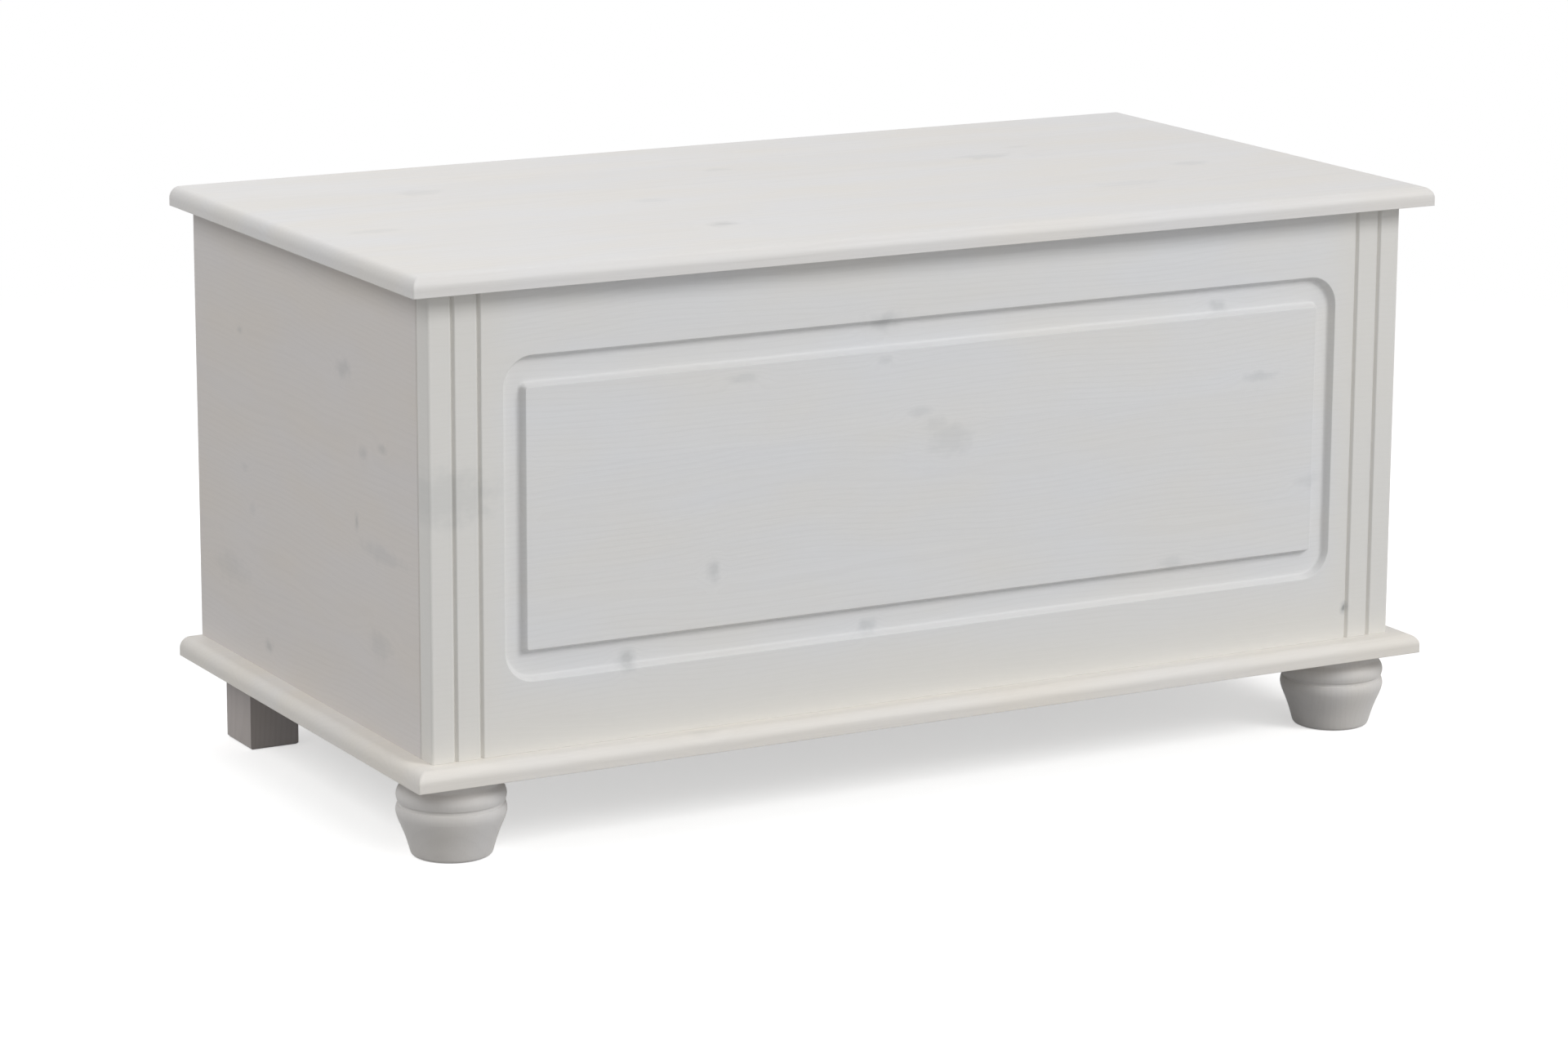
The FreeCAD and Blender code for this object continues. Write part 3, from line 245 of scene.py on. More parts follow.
def pine(name, axes, knots, seed, wash=WASH, ring_share=RING_SHARE, bounce_and_end_tint=None):
    """Whitewashed knotty pine under satin lacquer, as a material in the piece's own millimetres.

    Along the grain runs u, across the board v, and through it w. Rings, knots, fibres (noise
    stretched along u) and painted shade in grooves, at joints and on slopes each let a share of the
    wood beneath show. The warm tint is a colour painted low on the board as bounce light from the
    base board, the heights between which it fades out, and the distances from the middle, along u,
    between which the same colour comes in again near the ends, up to a share.
    """
    material = bpy.data.materials.new(name)
    material.use_nodes = True
    tree = material.node_tree
    shader = tree.nodes["Principled BSDF"]
    shader.inputs["IOR"].default_value = 1.5
    place = add(tree, "ShaderNodeTexCoord").outputs["Object"]
    millimetres = add(tree, VECTOR_MATH, {0: place, 1: (1 / MM,) * 3}, operation="MULTIPLY")
    apart = add(tree, "ShaderNodeSeparateXYZ", {0: millimetres}).outputs
    u, v, w = [apart["XYZ".index(axis)] for axis in axes]
    flat = add(tree, "ShaderNodeCombineXYZ", {0: u, 1: v})
    halo, heart, push = lay_knots(tree, flat, knots)
    late, lot = draw_rings(tree, u, v, w, flat, PITH_BENEATH[axes[2]], push, seed)

    # Fibres and pores, drawn about 1 mm wide so that they show, and about 70 mm long.
    stretched = add(tree, MATH, {0: u, 1: FIBRE_STRETCH}, operation="MULTIPLY")
    fibre_place = add(tree, "ShaderNodeCombineXYZ", {0: stretched, 1: v, 2: w})
    fibre = add(tree, NOISE, {"Vector": fibre_place, "Scale": FIBRE_RATE, "Detail": 3.0, "Roughness": 0.65})

    # The wash is thinner over the late wood and thicker in the early wood.
    shown = add(tree, MATH, {0: late, 1: ring_share, 2: EVEN_SHARE}, operation="MULTIPLY_ADD")
    for pattern, share in ((fibre, FIBRE_SHARE), (lot, STAVE_SHARE)):
        about_zero = add(tree, MATH, {0: pattern, 1: 0.5}, operation="SUBTRACT")
        shown = add(tree, MATH, {0: about_zero, 1: share, 2: shown}, operation="MULTIPLY_ADD")
    # Painted shade: the wash_pool attribute, set on the grooves, the back joint and slopes that don't face
    # up, darkens the colour toward the wood beneath.
    painted_shade_amount = add(tree, "ShaderNodeAttribute", attribute_name="wash_pool").outputs["Fac"]
    shown = add(tree, MATH, {0: painted_shade_amount, 1: PAINTED_SHADE_SHARE, 2: shown}, operation="MULTIPLY_ADD")
    colour = add(tree, MIX, {"Factor": shown, 6: linear(wash), 7: linear(WOOD_BENEATH)},
                 data_type="RGBA").outputs[2]

    # Wide faint clouds of a cooler and a warmer tint.
    cloud_place = add(tree, VECTOR_MATH, {0: flat, 1: CLOUD_RATES}, operation="MULTIPLY")
    cloud = add(tree, NOISE, {"Vector": cloud_place, "Scale": 1.0, "Detail": 2.0})
    hue = add(tree, FADE, {"Value": cloud, "From Min": 0.35, "From Max": 0.65})
    tint = add(tree, MIX, {"Factor": hue, 6: linear(COOL_TINT), 7: linear(WARM_TINT)},
               data_type="RGBA").outputs[2]
    colour = add(tree, MIX, {"Factor": 1.0, 6: colour, 7: tint}, data_type="RGBA",
                 blend_type="MULTIPLY").outputs[2]

    # Painted bounce light: a warmer colour fades in low on the board, where the base board throws light up;
    # the same colour also comes in near the ends.
    if bounce_and_end_tint:
        bounce_and_end_colour, heights, distances, end_share = bounce_and_end_tint
        painted_bounce = add(tree, FADE, {"Value": v, "From Min": heights[1], "From Max": heights[0]},
                        interpolation_type="SMOOTHSTEP")
        from_middle = add(tree, MATH, {0: u}, operation="ABSOLUTE")
        near_end = add(tree, FADE, {"Value": from_middle, "From Min": distances[0],
                                    "From Max": distances[1], "To Max": end_share},
                       interpolation_type="SMOOTHSTEP")
        nearest = add(tree, MATH, {0: painted_bounce, 1: near_end}, operation="MAXIMUM")
        colour = add(tree, MIX, {"Factor": nearest, 6: colour, 7: linear(bounce_and_end_colour)},
                     data_type="RGBA").outputs[2]
    for part, grey in ((halo, HALO_GREY), (heart, HEART_GREY)) if knots else ():
        colour = add(tree, MIX, {"Factor": part, 6: colour, 7: linear(grey)}, data_type="RGBA").outputs[2]
    tree.links.new(colour, shader.inputs["Base Color"])

    gloss = add(tree, MATH, {0: fibre, 1: FIBRE_DULLNESS, 2: LACQUER_ROUGHNESS}, operation="MULTIPLY_ADD")
    tree.links.new(gloss.outputs[0], shader.inputs["Roughness"])
    height = add(tree, MATH, {0: late, 1: LATE_RELIEF, 2: fibre}, operation="MULTIPLY_ADD")
    sanded = add(tree, "ShaderNodeBevel", {"Radius": SANDED_EDGE * MM}, samples=4)
    raised = add(tree, "ShaderNodeBump", {"Strength": 0.35, "Distance": GRAIN_RELIEF * MM,
                                          "Height": height, "Normal": sanded})
    tree.links.new(raised.outputs[0], shader.inputs["Normal"])
    return material


def dress(material, *nodes):
    """Give CAD nodes a finish."""
    for node in nodes:
        for slot in frame["nodes"][node].material_slots:
            slot.material = material


LID_KNOTS = (
    (-285, 111, 24, 15, 0.10, 0.0), (-21, 105, 17, 9, 0.09, 0.0), (210, 66, 26, 14, 0.13, 0.0),
    (342, -42, 20, 12, 0.12, 0.0), (261, 99, 14, 8, 0.07, 0.0), (-138, -6, 20, 10, 0.07, 0.0),
    (-141, -129, 17, 12, 0.15, 0.08), (-390, -38, 26, 10, 0.09, 0.0), (240, -108, 40, 14, 0.06, 0.0),
)
dress(pine("whitewashed_pine_lid", "XYZ", LID_KNOTS, 3), "lid_board")

# Base board
# The same glued pine with the same moulding, under the four walls. Its wash is a little warmer.

BASE_KNOTS = ((-210, -226, 16, 6, 0.1, 0.0), (330, 40, 30, 16, 0.2, 0.1))
dress(pine("whitewashed_pine_base", "XYZ", BASE_KNOTS, 11, wash="#F0EDE8"), "base_board")

# Front board
# One wide panel with rounded ends, two V grooves near each end, and a recess routed round a
# raised field. Painted shade darkens the grooves, the back joint and the slopes that don't face up.

FRONT_LOW, FRONT_HIGH = [np.array(corner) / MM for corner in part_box("front_panel")]
END_ROUND = 2.0
END_STEPS = 9
GROOVE_PLACES = (19.7, 40.8)
GROOVE_WIDTH = 4.0
GROOVE_DEEP = 2.8
JOINT_CHAMFER = 1.2
RECESS_MARGINS = (60.5, 54.0, 53.0)
RECESS_CORNER = 24.0
RECESS_DEEP = 6.5
SLOPE_WIDTH = 2.8
FIELD_BANDS = (18.3, 24.4)
FIELD_FOOT_CORNER = 4.6
CORNER_STEPS = 10

# How far the router's sharp lips and feet are softened, in millimetres.
LIP_EASE = 0.35
FOOT_EASE = 1.6
GROOVE_LIP_EASE = 0.5
GROOVE_FOOT_EASE = 0.3
JOINT_EASE = 0.3
ROUND_EASE = 0.05

# How much shade is painted on the slopes, in the grooves and at the back joint, and the warmer colour
# painted low on the board as bounce light from the base board, which also comes in near its ends.
SLOPE_PAINTED_SHADE = 0.5
GROOVE_PAINTED_SHADE = 1.5
JOINT_PAINTED_SHADE = 3.0
NEARLY = 0.1
# A warmer colour painted low on the board as bounce light from the base board, and the same colour near the
# ends.
BOUNCE_AND_END_TINT = "#E8E6E1"
PAINTED_BOUNCE_HEIGHTS = (80, 150)
END_TINT_DISTANCES = (350, 390)
END_TINT_SHARE = 0.75


def eased(points, reach, steps=4):
    """Round the inner corners of an open outline.

    Each corner gives way to a quadratic curve, which leaves one run and joins the next a reach
    away, with the corner itself as its middle control point.
    """
    points = np.asarray(points, float)
    share = np.linspace(0, 1, steps + 1)[:, None]
    runs = [points[:1]]
    for before, corner, after, radius in zip(points, points[1:], points[2:], reach[1:]):
        start = corner + (before - corner) / np.linalg.norm(before - corner) * radius
        end = corner + (after - corner) / np.linalg.norm(after - corner) * radius
        runs.append((1 - share) ** 2 * start + 2 * share * (1 - share) * corner + share ** 2 * end)
    runs.append(points[-1:])
    return np.concatenate(runs)


def rounded_loop(half_width, low, high, radius):
    """A rounded rectangle seen from the front: quarter circles set in from its four corners.

    Beside each point stands the upward part of its outward direction, the sine of its angle.
    """
    turn = np.linspace(0, np.pi / 2, CORNER_STEPS + 1)
    quarters = []
    for corner, (side, level) in enumerate(((1, high - radius), (-1, high - radius), (-1, low + radius),
                                            (1, low + radius))):
        angle = turn + corner * np.pi / 2
        across = side * (half_width - radius) + radius * np.cos(angle)
        quarters.append(np.stack([across, level + radius * np.sin(angle), np.sin(angle)], -1))
    return np.concatenate(quarters)


def ring_faces(start, rings, around, closed=True):
    """Quads between neighbouring rings of points, from a starting point on.

    A point p with the next point q of its ring makes the quad (p, q, q + around, p + around).
    """
    step = np.arange(around if closed else around - 1)
    ring = start + np.arange(rings - 1)[:, None] * around
    here, after = ring + step, ring + (step + 1) % around
    return np.stack([here, after, after + around, here + around], -1).reshape(-1, 4)


def finish_mesh(name, points, faces, crease=28, **attributes):
    """Put millimetre points and their faces into an object, smooth except at sharp creases."""
    mesh = bpy.data.meshes.new(name)
    mesh.from_pydata(np.asarray(points) * MM, [], faces)
    for attribute, values in attributes.items():
        values = np.asarray(values, np.float32)
        mesh.attributes.new(attribute, "FLOAT", "POINT").data.foreach_set("value", values)
    mesh.shade_smooth()
    mesh.set_sharp_from_angle(angle=math.radians(crease))
    piece = bpy.data.objects.new(name, mesh)
    bpy.context.collection.objects.link(piece)
    weighted = piece.modifiers.new("flat faces stay flat", "WEIGHTED_NORMAL")
    weighted.keep_sharp = True
    return piece


def front_plan():
    """The board's plan, from one side of the relief round its ends and back to the other side.

    Each corner of the right half is (across, depth, ease): the V grooves, the round of the end,
    a quarter circle, and the chamfer of the back joint. The left half is its mirror image.
    """
    front, back, half = FRONT_LOW[1], FRONT_HIGH[1], FRONT_HIGH[0]
    corners = [(half - GROOVE_PLACES[-1] - GROOVE_WIDTH * 2, front, 0)]
    for place in GROOVE_PLACES[::-1]:
        middle = half - place
        corners += [(middle - GROOVE_WIDTH / 2, front, GROOVE_LIP_EASE),
                    (middle, front + GROOVE_DEEP, GROOVE_FOOT_EASE),
                    (middle + GROOVE_WIDTH / 2, front, GROOVE_LIP_EASE)]
    turn = np.linspace(-np.pi / 2, 0, END_STEPS)
    end = np.column_stack([half - END_ROUND + END_ROUND * np.cos(turn),
                           front + END_ROUND + END_ROUND * np.sin(turn), np.full(END_STEPS, ROUND_EASE)])
    joint = [(half, back - JOINT_CHAMFER, JOINT_EASE), (half - JOINT_CHAMFER, back, JOINT_EASE),
             (0, back, 0)]
    corners = np.concatenate([corners, end, joint])
    right = eased(corners[:, :2], corners[:, 2])
    return np.concatenate([right, right[-2::-1] * (-1, 1)])


def front_board():
    """The board is a belt, two end caps and a relief.

    The belt is the board's plan, carried up from its bottom to its top, all but the stretch
    between the grooves. The relief fills that stretch with loops of one count of points: each is
    a rounded rectangle at its own depth, from the recess's lip down its slope, over the flat, and
    up the slope of the field. Each point has its share of painted shade, for the shade in the
    grooves, at the back joint and on slopes that don't face up.
    """
    front, back, half = FRONT_LOW[1], FRONT_HIGH[1], FRONT_HIGH[0]
    low, high = FRONT_LOW[2], FRONT_HIGH[2]
    plan = front_plan()
    count = len(plan)
    belt = np.concatenate([np.column_stack([plan, np.full(count, level)]) for level in (low, high)])
    faces = ring_faces(0, 2, count, closed=False).tolist()
    faces += [tuple(range(count - 1, -1, -1)), tuple(range(count, 2 * count))]
    from_front, from_middle = plan[:, 1] - front, np.abs(plan[:, 0])
    grooved = (from_front < GROOVE_DEEP + NEARLY) & (from_middle < half - END_ROUND)
    joined = ((from_front > back - front - JOINT_CHAMFER - NEARLY)
              & (from_middle > half - JOINT_CHAMFER - NEARLY))
    # Painted shade: deeper in the grooves, and strongest on the back joint's chamfer, where shade falls
    # between the boards.
    pool = [GROOVE_PAINTED_SHADE * np.clip(from_front / GROOVE_DEEP, 0, 1) * grooved + JOINT_PAINTED_SHADE * joined] * 2

    slope = eased([(-LIP_EASE, 0), (0, 0), (SLOPE_WIDTH, RECESS_DEEP),
                   (SLOPE_WIDTH + FOOT_EASE, RECESS_DEEP)], (0, LIP_EASE, FOOT_EASE, 0))[1:]
    side, lower, upper = RECESS_MARGINS
    side_band, level_band = FIELD_BANDS
    loops = [(half - side - inset, low + lower + inset, high - upper - inset, RECESS_CORNER - inset,
              depth, -1) for inset, depth in slope[:-1]]
    loops += [(half - side - side_band + inset, low + lower + level_band - inset,
               high - upper - level_band + inset, FIELD_FOOT_CORNER - SLOPE_WIDTH + inset, depth, 1)
              for inset, depth in slope[-2::-1]]
    points = [belt]
    for *shape, depth, outward in loops:
        across, level, upward = rounded_loop(*shape).T
        points.append(np.column_stack([across, np.full(len(across), front + depth), level]))
        # Painted shade on the recess slopes, most at mid depth and on slopes that don't face up.
        on_slope = math.sin(math.pi * min(1, depth / RECESS_DEEP))
        pool.append(SLOPE_PAINTED_SHADE * on_slope * np.clip(1 - upward * outward, 0, 1))

    around = 4 * (CORNER_STEPS + 1)
    base = 2 * count
    faces += ring_faces(base, len(loops), around).tolist()
    faces.append(tuple(base + (len(loops) - 1) * around + np.arange(around)))
    belt_corners = (count, 2 * count - 1, count - 1, 0)
    middles = [corner * (CORNER_STEPS + 1) + CORNER_STEPS // 2 for corner in range(4)]
    for number in range(4):
        span = (middles[number] - middles[number - 1]) % around
        lip = [base + (middles[number] - back_step) % around for back_step in range(span + 1)]
        faces.append((belt_corners[number - 1], belt_corners[number], *lip))
    return np.concatenate(points), faces, np.concatenate(pool)


FRONT_KNOTS = (
    (-416, 281, 48, 26, 0.15, 0.0), (-170, 348, 16, 5, 0.13, 0.0), (-45, 380, 17, 9, 0.18, 0.06),
    (-47, 351, 8, 4, 0.11, 0.0), (-15, 308, 13, 5, 0.13, 0.0), (-2, 297, 13, 8, 0.10, 0.0),
    (12, 284, 24, 15, 0.12, 0.0), (260, 365, 12, 8, 0.16, 0.05), (297, 306, 17, 5, 0.17, 0.0),
    (-195, 202, 7, 10, 0.17, 0.05), (-266, 141, 9, 10, 0.18, 0.12), (-57, 141, 9, 9, 0.17, 0.05),
    (220, 161, 15, 8, 0.12, 0.0), (350, 216, 16, 7, 0.10, 0.0), (387, 106, 5, 6, 0.34, 0.45),
)
points, faces, pool = front_board()
front_piece = finish_mesh("front_board", points, faces, wash_pool=pool)
front_piece.data.materials.append(pine("whitewashed_pine_front", "XZY", FRONT_KNOTS, 5, wash="#EBECED",
                                       bounce_and_end_tint=(BOUNCE_AND_END_TINT, PAINTED_BOUNCE_HEIGHTS, END_TINT_DISTANCES, END_TINT_SHARE)))
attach(front_piece, "carcass")
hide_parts("front_panel")

# Side boards
# Plain glued panels behind the front board, with their grain from front to back.

SIDE_KNOTS = (
    (138, 348, 8, 4, 0.16, 0.04), (-64, 352, 17, 9, 0.16, 0.05), (-98, 294, 10, 6, 0.15, 0.04),
    (-132, 304, 9, 5, 0.15, 0.05), (-84, 238, 5, 9, 0.16, 0.12), (-130, 222, 46, 8, 0.13, 0.0),
    (-124, 151, 24, 12, 0.14, 0.0), (90, 102, 11, 7, 0.17, 0.10), (163, 150, 40, 15, 0.10, 0.0),
    (133, 238, 9, 5, 0.09, 0.0), (118, 207, 9, 5, 0.08, 0.0),
)
dress(pine("whitewashed_pine_side", "YZX", SIDE_KNOTS, 8, wash="#E4E0DD"), "side_panel_left",
      "side_panel_right")

# Back board
# The fourth wall, of the same glued pine, between the side boards.

BACK_KNOTS = (
    (-300, 340, 12, 8, 0.20, 0.12), (-120, 150, 22, 10, 0.15, 0.0), (60, 380, 10, 7, 0.20, 0.12),
    (190, 230, 9, 9, 0.20, 0.16), (330, 130, 24, 9, 0.14, 0.0), (-370, 210, 8, 6, 0.18, 0.10),
    (10, 240, 34, 9, 0.12, 0.0), (280, 370, 14, 8, 0.18, 0.08),
)
dress(pine("whitewashed_pine_back", "XZY", BACK_KNOTS, 14), "back_panel")

# Lid battens
# Planed pine strips screwed across the underside of the lid to keep it flat, thinly washed.

BATTEN_KNOTS = ((-60, -250, 9, 7, 0.3, 0.2), (60, 262, 9, 7, 0.3, 0.2))
dress(pine("thinly_washed_batten", "YXZ", BATTEN_KNOTS, 21, wash="#E2DCD0", ring_share=0.12),
      "lid_batten_left", "lid_batten_right")

# Turned front feet
# Turned on a lathe from one pine block each, with the grain upright: a sole with a rounded edge,
# a tapered body, a shoulder, a sanded waist between two fine lines, a bead and a neck.

WAIST_HEIGHT = 40.4
WAIST_DIP = 0.9
WAIST_REACH = 1.2
FOOT_SIDES = 96
FOOT_CORNERS = (
    (0, 0, 0), (30.6, 0, 3), (34.4, 13.3, 3), (37.4, 21.2, 3), (40.6, 28.6, 3.4), (42.5, 35.2, 3.2),
    (40.9, 40.4, 0.3), (40.1, 40.6, 0.3), (39.9, 41.6, 0.4), (40.2, 42.5, 0.3), (40.9, 42.7, 0.3),
    (42.1, 46.9, 2.4), (40.6, 52, 2.2), (37, 55.4, 1.6), (37, 65, 0.4),
)
BOLT_LOW, BOLT_HIGH = [np.array(corner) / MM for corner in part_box("foot_hanger_bolts")]
BOLT_EASE = 0.1


def fan_faces(centre, start, around):
    """Triangles from a centre to each point of a ring and the next one."""
    step = np.arange(around)
    return np.column_stack([np.full(around, centre), start + step, start + (step + 1) % around])


def lathe(outline, centre, thick_turn):
    """Turn an outline of (radius, height) about an upright axis.

    The point at radius r, height z and turn a is (r cos a, r sin a, z) from the centre. The lower
    line of the waist dips by a cosine of the turn, most on one side, as hand sanding leaves it.
    """
    turn = np.linspace(0, 2 * np.pi, FOOT_SIDES, endpoint=False)
    radius, level = outline[1:-1, 0][:, None], outline[1:-1, 1][:, None]
    near_waist = np.exp(-((level - WAIST_HEIGHT) / WAIST_REACH) ** 2) * (radius > outline[-2, 0] * 2)
    level = level - WAIST_DIP * near_waist * (1 + np.cos(turn - thick_turn)) / 2
    ring = np.stack([centre[0] + radius * np.cos(turn), centre[1] + radius * np.sin(turn), level], -1)
    ends = [[*centre, outline[0, 1]], [*centre, outline[-1, 1]]]
    rings = len(outline) - 2
    sole = rings * FOOT_SIDES
    faces = [*fan_faces(sole, 0, FOOT_SIDES)[:, ::-1].tolist(), *ring_faces(0, rings, FOOT_SIDES).tolist(),
             *fan_faces(sole + 1, sole - FOOT_SIDES, FOOT_SIDES).tolist()]
    return np.concatenate([ring.reshape(-1, 3), ends]), faces


bolt_radius = (BOLT_HIGH[1] - BOLT_LOW[1]) / 2
foot_corners = np.array([*FOOT_CORNERS, (bolt_radius, FOOT_CORNERS[-1][1], BOLT_EASE),
                         (bolt_radius, BOLT_LOW[2], BOLT_EASE), (0, BOLT_LOW[2], 0)])
foot_outline = eased(foot_corners[:, :2], foot_corners[:, 2])
foot_pine = pine("turned_pine_foot", "ZXY", (), 27, wash="#E2E0DE")
for side, thick_turn in (("left", 225), ("right", 250)):
    foot_low, foot_high = [np.array(corner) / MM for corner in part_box(f"front_foot_{side}")]
    points, faces = lathe(foot_outline, (foot_low + foot_high)[:2] / 2, math.radians(thick_turn))
    foot = finish_mesh(f"turned_foot_{side}", points, faces, crease=50)
    foot.data.materials.append(foot_pine)
    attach(foot, "carcass")
    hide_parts(f"front_foot_{side}")

# Block rear feet
# Square sawn blocks with chamfered soles, where nobody looks. The wash shows more of the grain, and
# its colour is darkened and greyed as painted shade for the shade beneath the chest.

# Painted shade: the dark grey wash stands in for the shade beneath the chest.
dress(pine("sawn_pine_block_painted_shade", "ZXY", (), 31, wash="#BDB7B6", ring_share=0.10),
      "rear_foot_left", "rear_foot_right")

# Dowels
# Beech pins in the upright joints, glued into both boards.

ROUGHNESS_SPREAD = 0.15
ROUGHNESS_DROP = 0.07


def plain(name, colour, dark, scale, roughness, metallic, stretch=(1, 1, 1)):
    """A small fitting's finish: two tones mixed by stretched noise, which also roughens it."""
    material = bpy.data.materials.new(name)
    material.use_nodes = True
    tree = material.node_tree
    shader = tree.nodes["Principled BSDF"]
    shader.inputs["Metallic"].default_value = metallic
    place = add(tree, "ShaderNodeTexCoord").outputs["Object"]
    stretched = add(tree, "ShaderNodeMapping", {"Vector": place, "Scale": stretch})
    noise = add(tree, NOISE, {"Vector": stretched, "Scale": scale, "Detail": 4.0})
    mixed = add(tree, MIX, {"Factor": noise, 6: linear(colour), 7: linear(dark)}, data_type="RGBA")
    tree.links.new(mixed.outputs[2], shader.inputs["Base Color"])
    gloss = add(tree, MATH, {0: noise, 1: ROUGHNESS_SPREAD, 2: roughness - ROUGHNESS_DROP},
                operation="MULTIPLY_ADD")
    tree.links.new(gloss.outputs[0], shader.inputs["Roughness"])
    raised = add(tree, "ShaderNodeBump", {"Strength": 0.05, "Distance": 0.1 * MM, "Height": noise})
    tree.links.new(raised.outputs[0], shader.inputs["Normal"])
    return material


dress(plain("beech_dowel_wood", "#CFA981", "#B98D62", 900.0, 0.55, 0.0), "front_corner_dowels",
      "rear_corner_dowels")

# Cam fittings and tee nuts
# Die-cast zinc cams on steel bolts, sunk into the inside of the boards, and pressed steel nuts.

dress(plain("die_cast_zinc", "#B9BCC0", "#8F9296", 700.0, 0.42, 1.0), "front_cams", "rear_cams",
      "front_cam_bolts", "rear_cam_bolts", "foot_tee_nuts")

# Screws and hanger bolts
# Zinc-plated steel, the large ones with a faint yellow passivation.

dress(plain("yellow_zinc_screw", "#CDBE93", "#A79A78", 900.0, 0.34, 1.0), "base_screws",
      "rear_foot_screws", "batten_screws", "foot_hanger_bolts")
dress(plain("bright_zinc_screw", "#C6C8CA", "#A3A6A9", 900.0, 0.32, 1.0), "hinge_body_screws",
      "hinge_lid_screws", "stay_side_screws", "stay_lid_screws")

# Butt hinges
# Pressed nickel-plated steel leaves rolled round a pin, brushed along their length.

dress(plain("brushed_nickel_hinge", "#C3C1BC", "#A8A6A0", 260.0, 0.33, 1.0, stretch=(1, 9, 9)),
      "hinge_left_body_leaf", "hinge_left_lid_leaf", "hinge_left_pin",
      "hinge_right_body_leaf", "hinge_right_lid_leaf", "hinge_right_pin")

# Folding lid stay
# Two flat zinc-plated steel arms riveted to each other and to a bracket at each end.

dress(plain("zinc_plated_stay", "#BFC1C3", "#9DA0A3", 300.0, 0.36, 1.0, stretch=(9, 1, 1)),
      "stay_lower_arm", "stay_upper_arm", "stay_side_bracket", "stay_lid_bracket")
dress(plain("bright_rivet_steel", "#CFD1D2", "#B4B6B8", 900.0, 0.28, 1.0), "stay_elbow_rivet",
      "stay_lid_rivet", "stay_side_rivet")

# Floor and backdrop
# A plain pale floor that keeps the chest's soft shadow and fades into a white backdrop. A camera
# beneath it sees through it, so that the underside can be looked at.

FLOOR_RADIUS = 12.0
FLOOR_RINGS = 16
FLOOR_SIDES = 96
FLOOR_BOUNCE = "#A6A6A6"
FLOOR_GLOW = 0.5
FADE_START = 0.7
FADE_END = 2.2
WORLD_FILL = 0.35
WHITE = (1, 1, 1, 1)


def floor_disc():
    """A flat disc: radius grows with the square of the ring's share, angle with the side's."""
    share = np.linspace(0, 1, FLOOR_RINGS + 1)[1:, None] ** 2
    angle = np.linspace(0, 2 * np.pi, FLOOR_SIDES, endpoint=False)[None, :]
    x = FLOOR_RADIUS * share * np.cos(angle)
    y = FLOOR_RADIUS * share * np.sin(angle)
    points = np.concatenate([[[0, 0, 0]], np.stack([x, y, 0 * x], -1).reshape(-1, 3)])
    faces = [*fan_faces(0, 1, FLOOR_SIDES).tolist(),
             *ring_faces(1, FLOOR_RINGS, FLOOR_SIDES)[:, ::-1].tolist()]
    return points, [], faces


def looking_rays(tree):
    """Return 1 on rays from the camera, off gloss and through glass, which see the white ground."""
    path = add(tree, "ShaderNodeLightPath").outputs
    looking = path["Is Camera Ray"]
    for name in ("Is Glossy Ray", "Is Transmission Ray"):
        looking = add(tree, MATH, {0: looking, 1: path[name]}, operation="MAXIMUM")
    return looking


floor_mesh = bpy.data.meshes.new("floor")
floor_mesh.from_pydata(*floor_disc())
floor = bpy.data.objects.new("floor", floor_mesh)
bpy.context.collection.objects.link(floor)

floor_paint = bpy.data.materials.new("pale_studio_floor")
floor_paint.use_nodes = True
tree = floor_paint.node_tree
tree.nodes.remove(tree.nodes["Principled BSDF"])
bounce = add(tree, "ShaderNodeBsdfDiffuse", {"Color": linear(FLOOR_BOUNCE)})
shown = add(tree, "ShaderNodeBsdfDiffuse", {"Color": WHITE})
glow = add(tree, "ShaderNodeEmission", {"Strength": FLOOR_GLOW})
shown = add(tree, "ShaderNodeAddShader", {0: shown, 1: glow})
white = add(tree, "ShaderNodeEmission", {"Strength": 1.0})
spot = add(tree, "ShaderNodeTexCoord").outputs["Object"]
far = add(tree, VECTOR_MATH, {0: spot}, operation="LENGTH").outputs["Value"]
fade = add(tree, FADE, {"Value": far, "From Min": FADE_START, "From Max": FADE_END},
           interpolation_type="SMOOTHSTEP")
shown = add(tree, "ShaderNodeMixShader", {0: fade, 1: shown, 2: white})
above = add(tree, "ShaderNodeMixShader", {0: looking_rays(tree), 1: bounce, 2: shown})
from_camera = add(tree, "ShaderNodeLightPath").outputs["Is Camera Ray"]
backfacing = add(tree, "ShaderNodeNewGeometry").outputs["Backfacing"]
beneath = add(tree, MATH, {0: from_camera, 1: backfacing}, operation="MULTIPLY")
clear = add(tree, "ShaderNodeBsdfTransparent")
whole = add(tree, "ShaderNodeMixShader", {0: beneath, 1: above, 2: clear})
tree.links.new(whole.outputs[0], tree.nodes["Material Output"].inputs["Surface"])
floor_mesh.materials.append(floor_paint)

world = bpy.data.worlds.new("white_studio")
world.use_nodes = True
bpy.context.scene.world = world
tree = world.node_tree
fill = tree.nodes["Background"]
fill.inputs["Color"].default_value = WHITE
fill.inputs["Strength"].default_value = WORLD_FILL
white = add(tree, "ShaderNodeBackground", {"Color": WHITE, "Strength": 1.0})
both = add(tree, "ShaderNodeMixShader", {0: looking_rays(tree), 1: fill, 2: white})
tree.links.new(both.outputs[0], tree.nodes["World Output"].inputs["Surface"])

# Studio lamps
# One large soft box to the right of the front does the modelling, one lights the left side, and
# two weak ones lift the front, and the back and top.

LAMP_CENTRE = Vector((0, 0, 0.25))


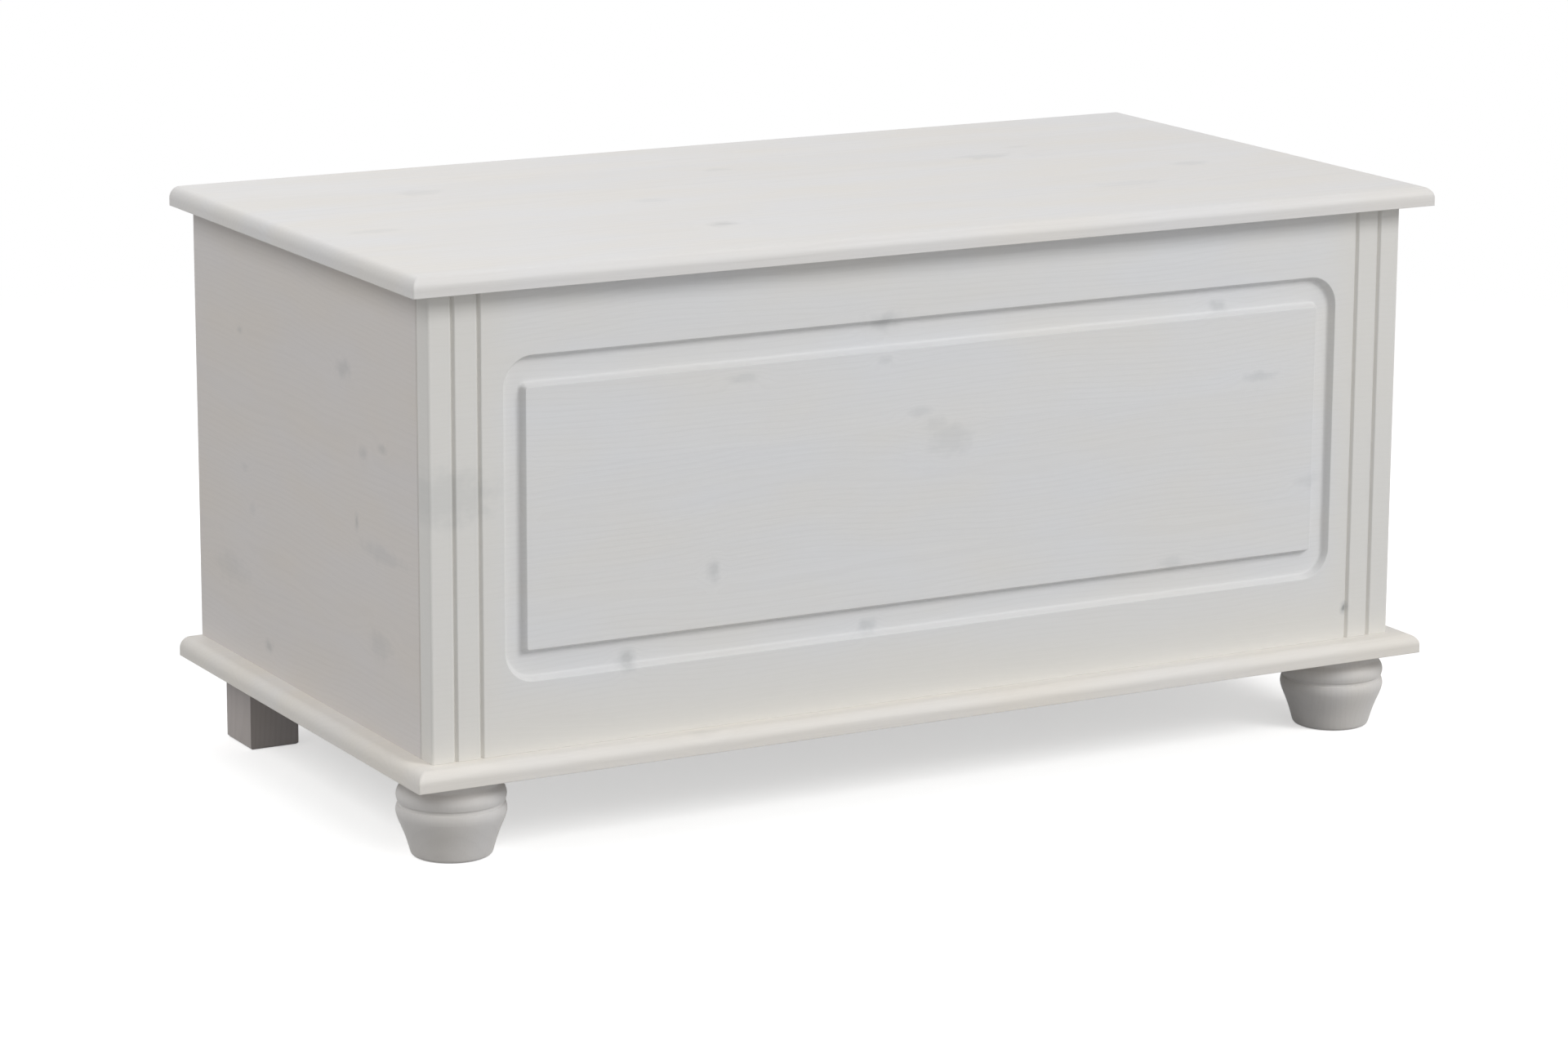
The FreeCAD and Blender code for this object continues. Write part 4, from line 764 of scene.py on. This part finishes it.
def soft_box(name, turn, climb, size, power, distance=3.6):
    """Hang a square soft box round the chest by its turn from the front and its climb, in degrees."""
    lamp = bpy.data.lights.new(name, "AREA")
    lamp.size = size
    lamp.energy = power
    holder = bpy.data.objects.new(name, lamp)
    bpy.context.collection.objects.link(holder)
    turn, climb = math.radians(turn), math.radians(climb)
    away = Vector((math.sin(turn) * math.cos(climb), -math.cos(turn) * math.cos(climb), math.sin(climb)))
    holder.location = LAMP_CENTRE + away * distance
    holder.rotation_euler = (-away).to_track_quat("-Z", "Y").to_euler()


soft_box("right_soft_box", 30, 34.3, 2.6, 213, distance=7.0)
soft_box("front_soft_box", 0, 20, 1.6, 8.4)
soft_box("left_soft_box", -90, 40, 1.6, 32)
soft_box("rear_soft_box", 180, 45, 2.2, 16)

# Camera
# The photograph's own view: a long lens, front left and above. Its upright edges were set
# parallel afterwards, which a level camera with a large shift would need, so this one is the
# closest plain view without any shift.

CAMERA_PLACE = (-1.9385, -3.4913, 1.0989)
CAMERA_YAW = 0.50345
CAMERA_DIP = 0.22755
CAMERA_ROLL = 0.00468
CAMERA_LENS = 115.92
CAMERA_SENSOR = 36.0

forward = Vector((math.sin(CAMERA_YAW) * math.cos(CAMERA_DIP), math.cos(CAMERA_YAW) * math.cos(CAMERA_DIP),
                  -math.sin(CAMERA_DIP)))
level = Vector((math.cos(CAMERA_YAW), -math.sin(CAMERA_YAW), 0))
upward = level.cross(forward)
right = level * math.cos(CAMERA_ROLL) + upward * math.sin(CAMERA_ROLL)
top = upward * math.cos(CAMERA_ROLL) - level * math.sin(CAMERA_ROLL)
camera_data = bpy.data.cameras.new("camera")
camera_data.lens = CAMERA_LENS
camera_data.sensor_width = CAMERA_SENSOR
camera_data.clip_end = 100.0
camera = bpy.data.objects.new("camera", camera_data)
bpy.context.collection.objects.link(camera)
turned = Matrix((right, top, -forward)).transposed().to_4x4()
camera.matrix_world = Matrix.Translation(CAMERA_PLACE) @ turned
bpy.context.scene.camera = camera
bpy.context.scene.view_settings.view_transform = "Standard"

bpy.context.view_layer.update()
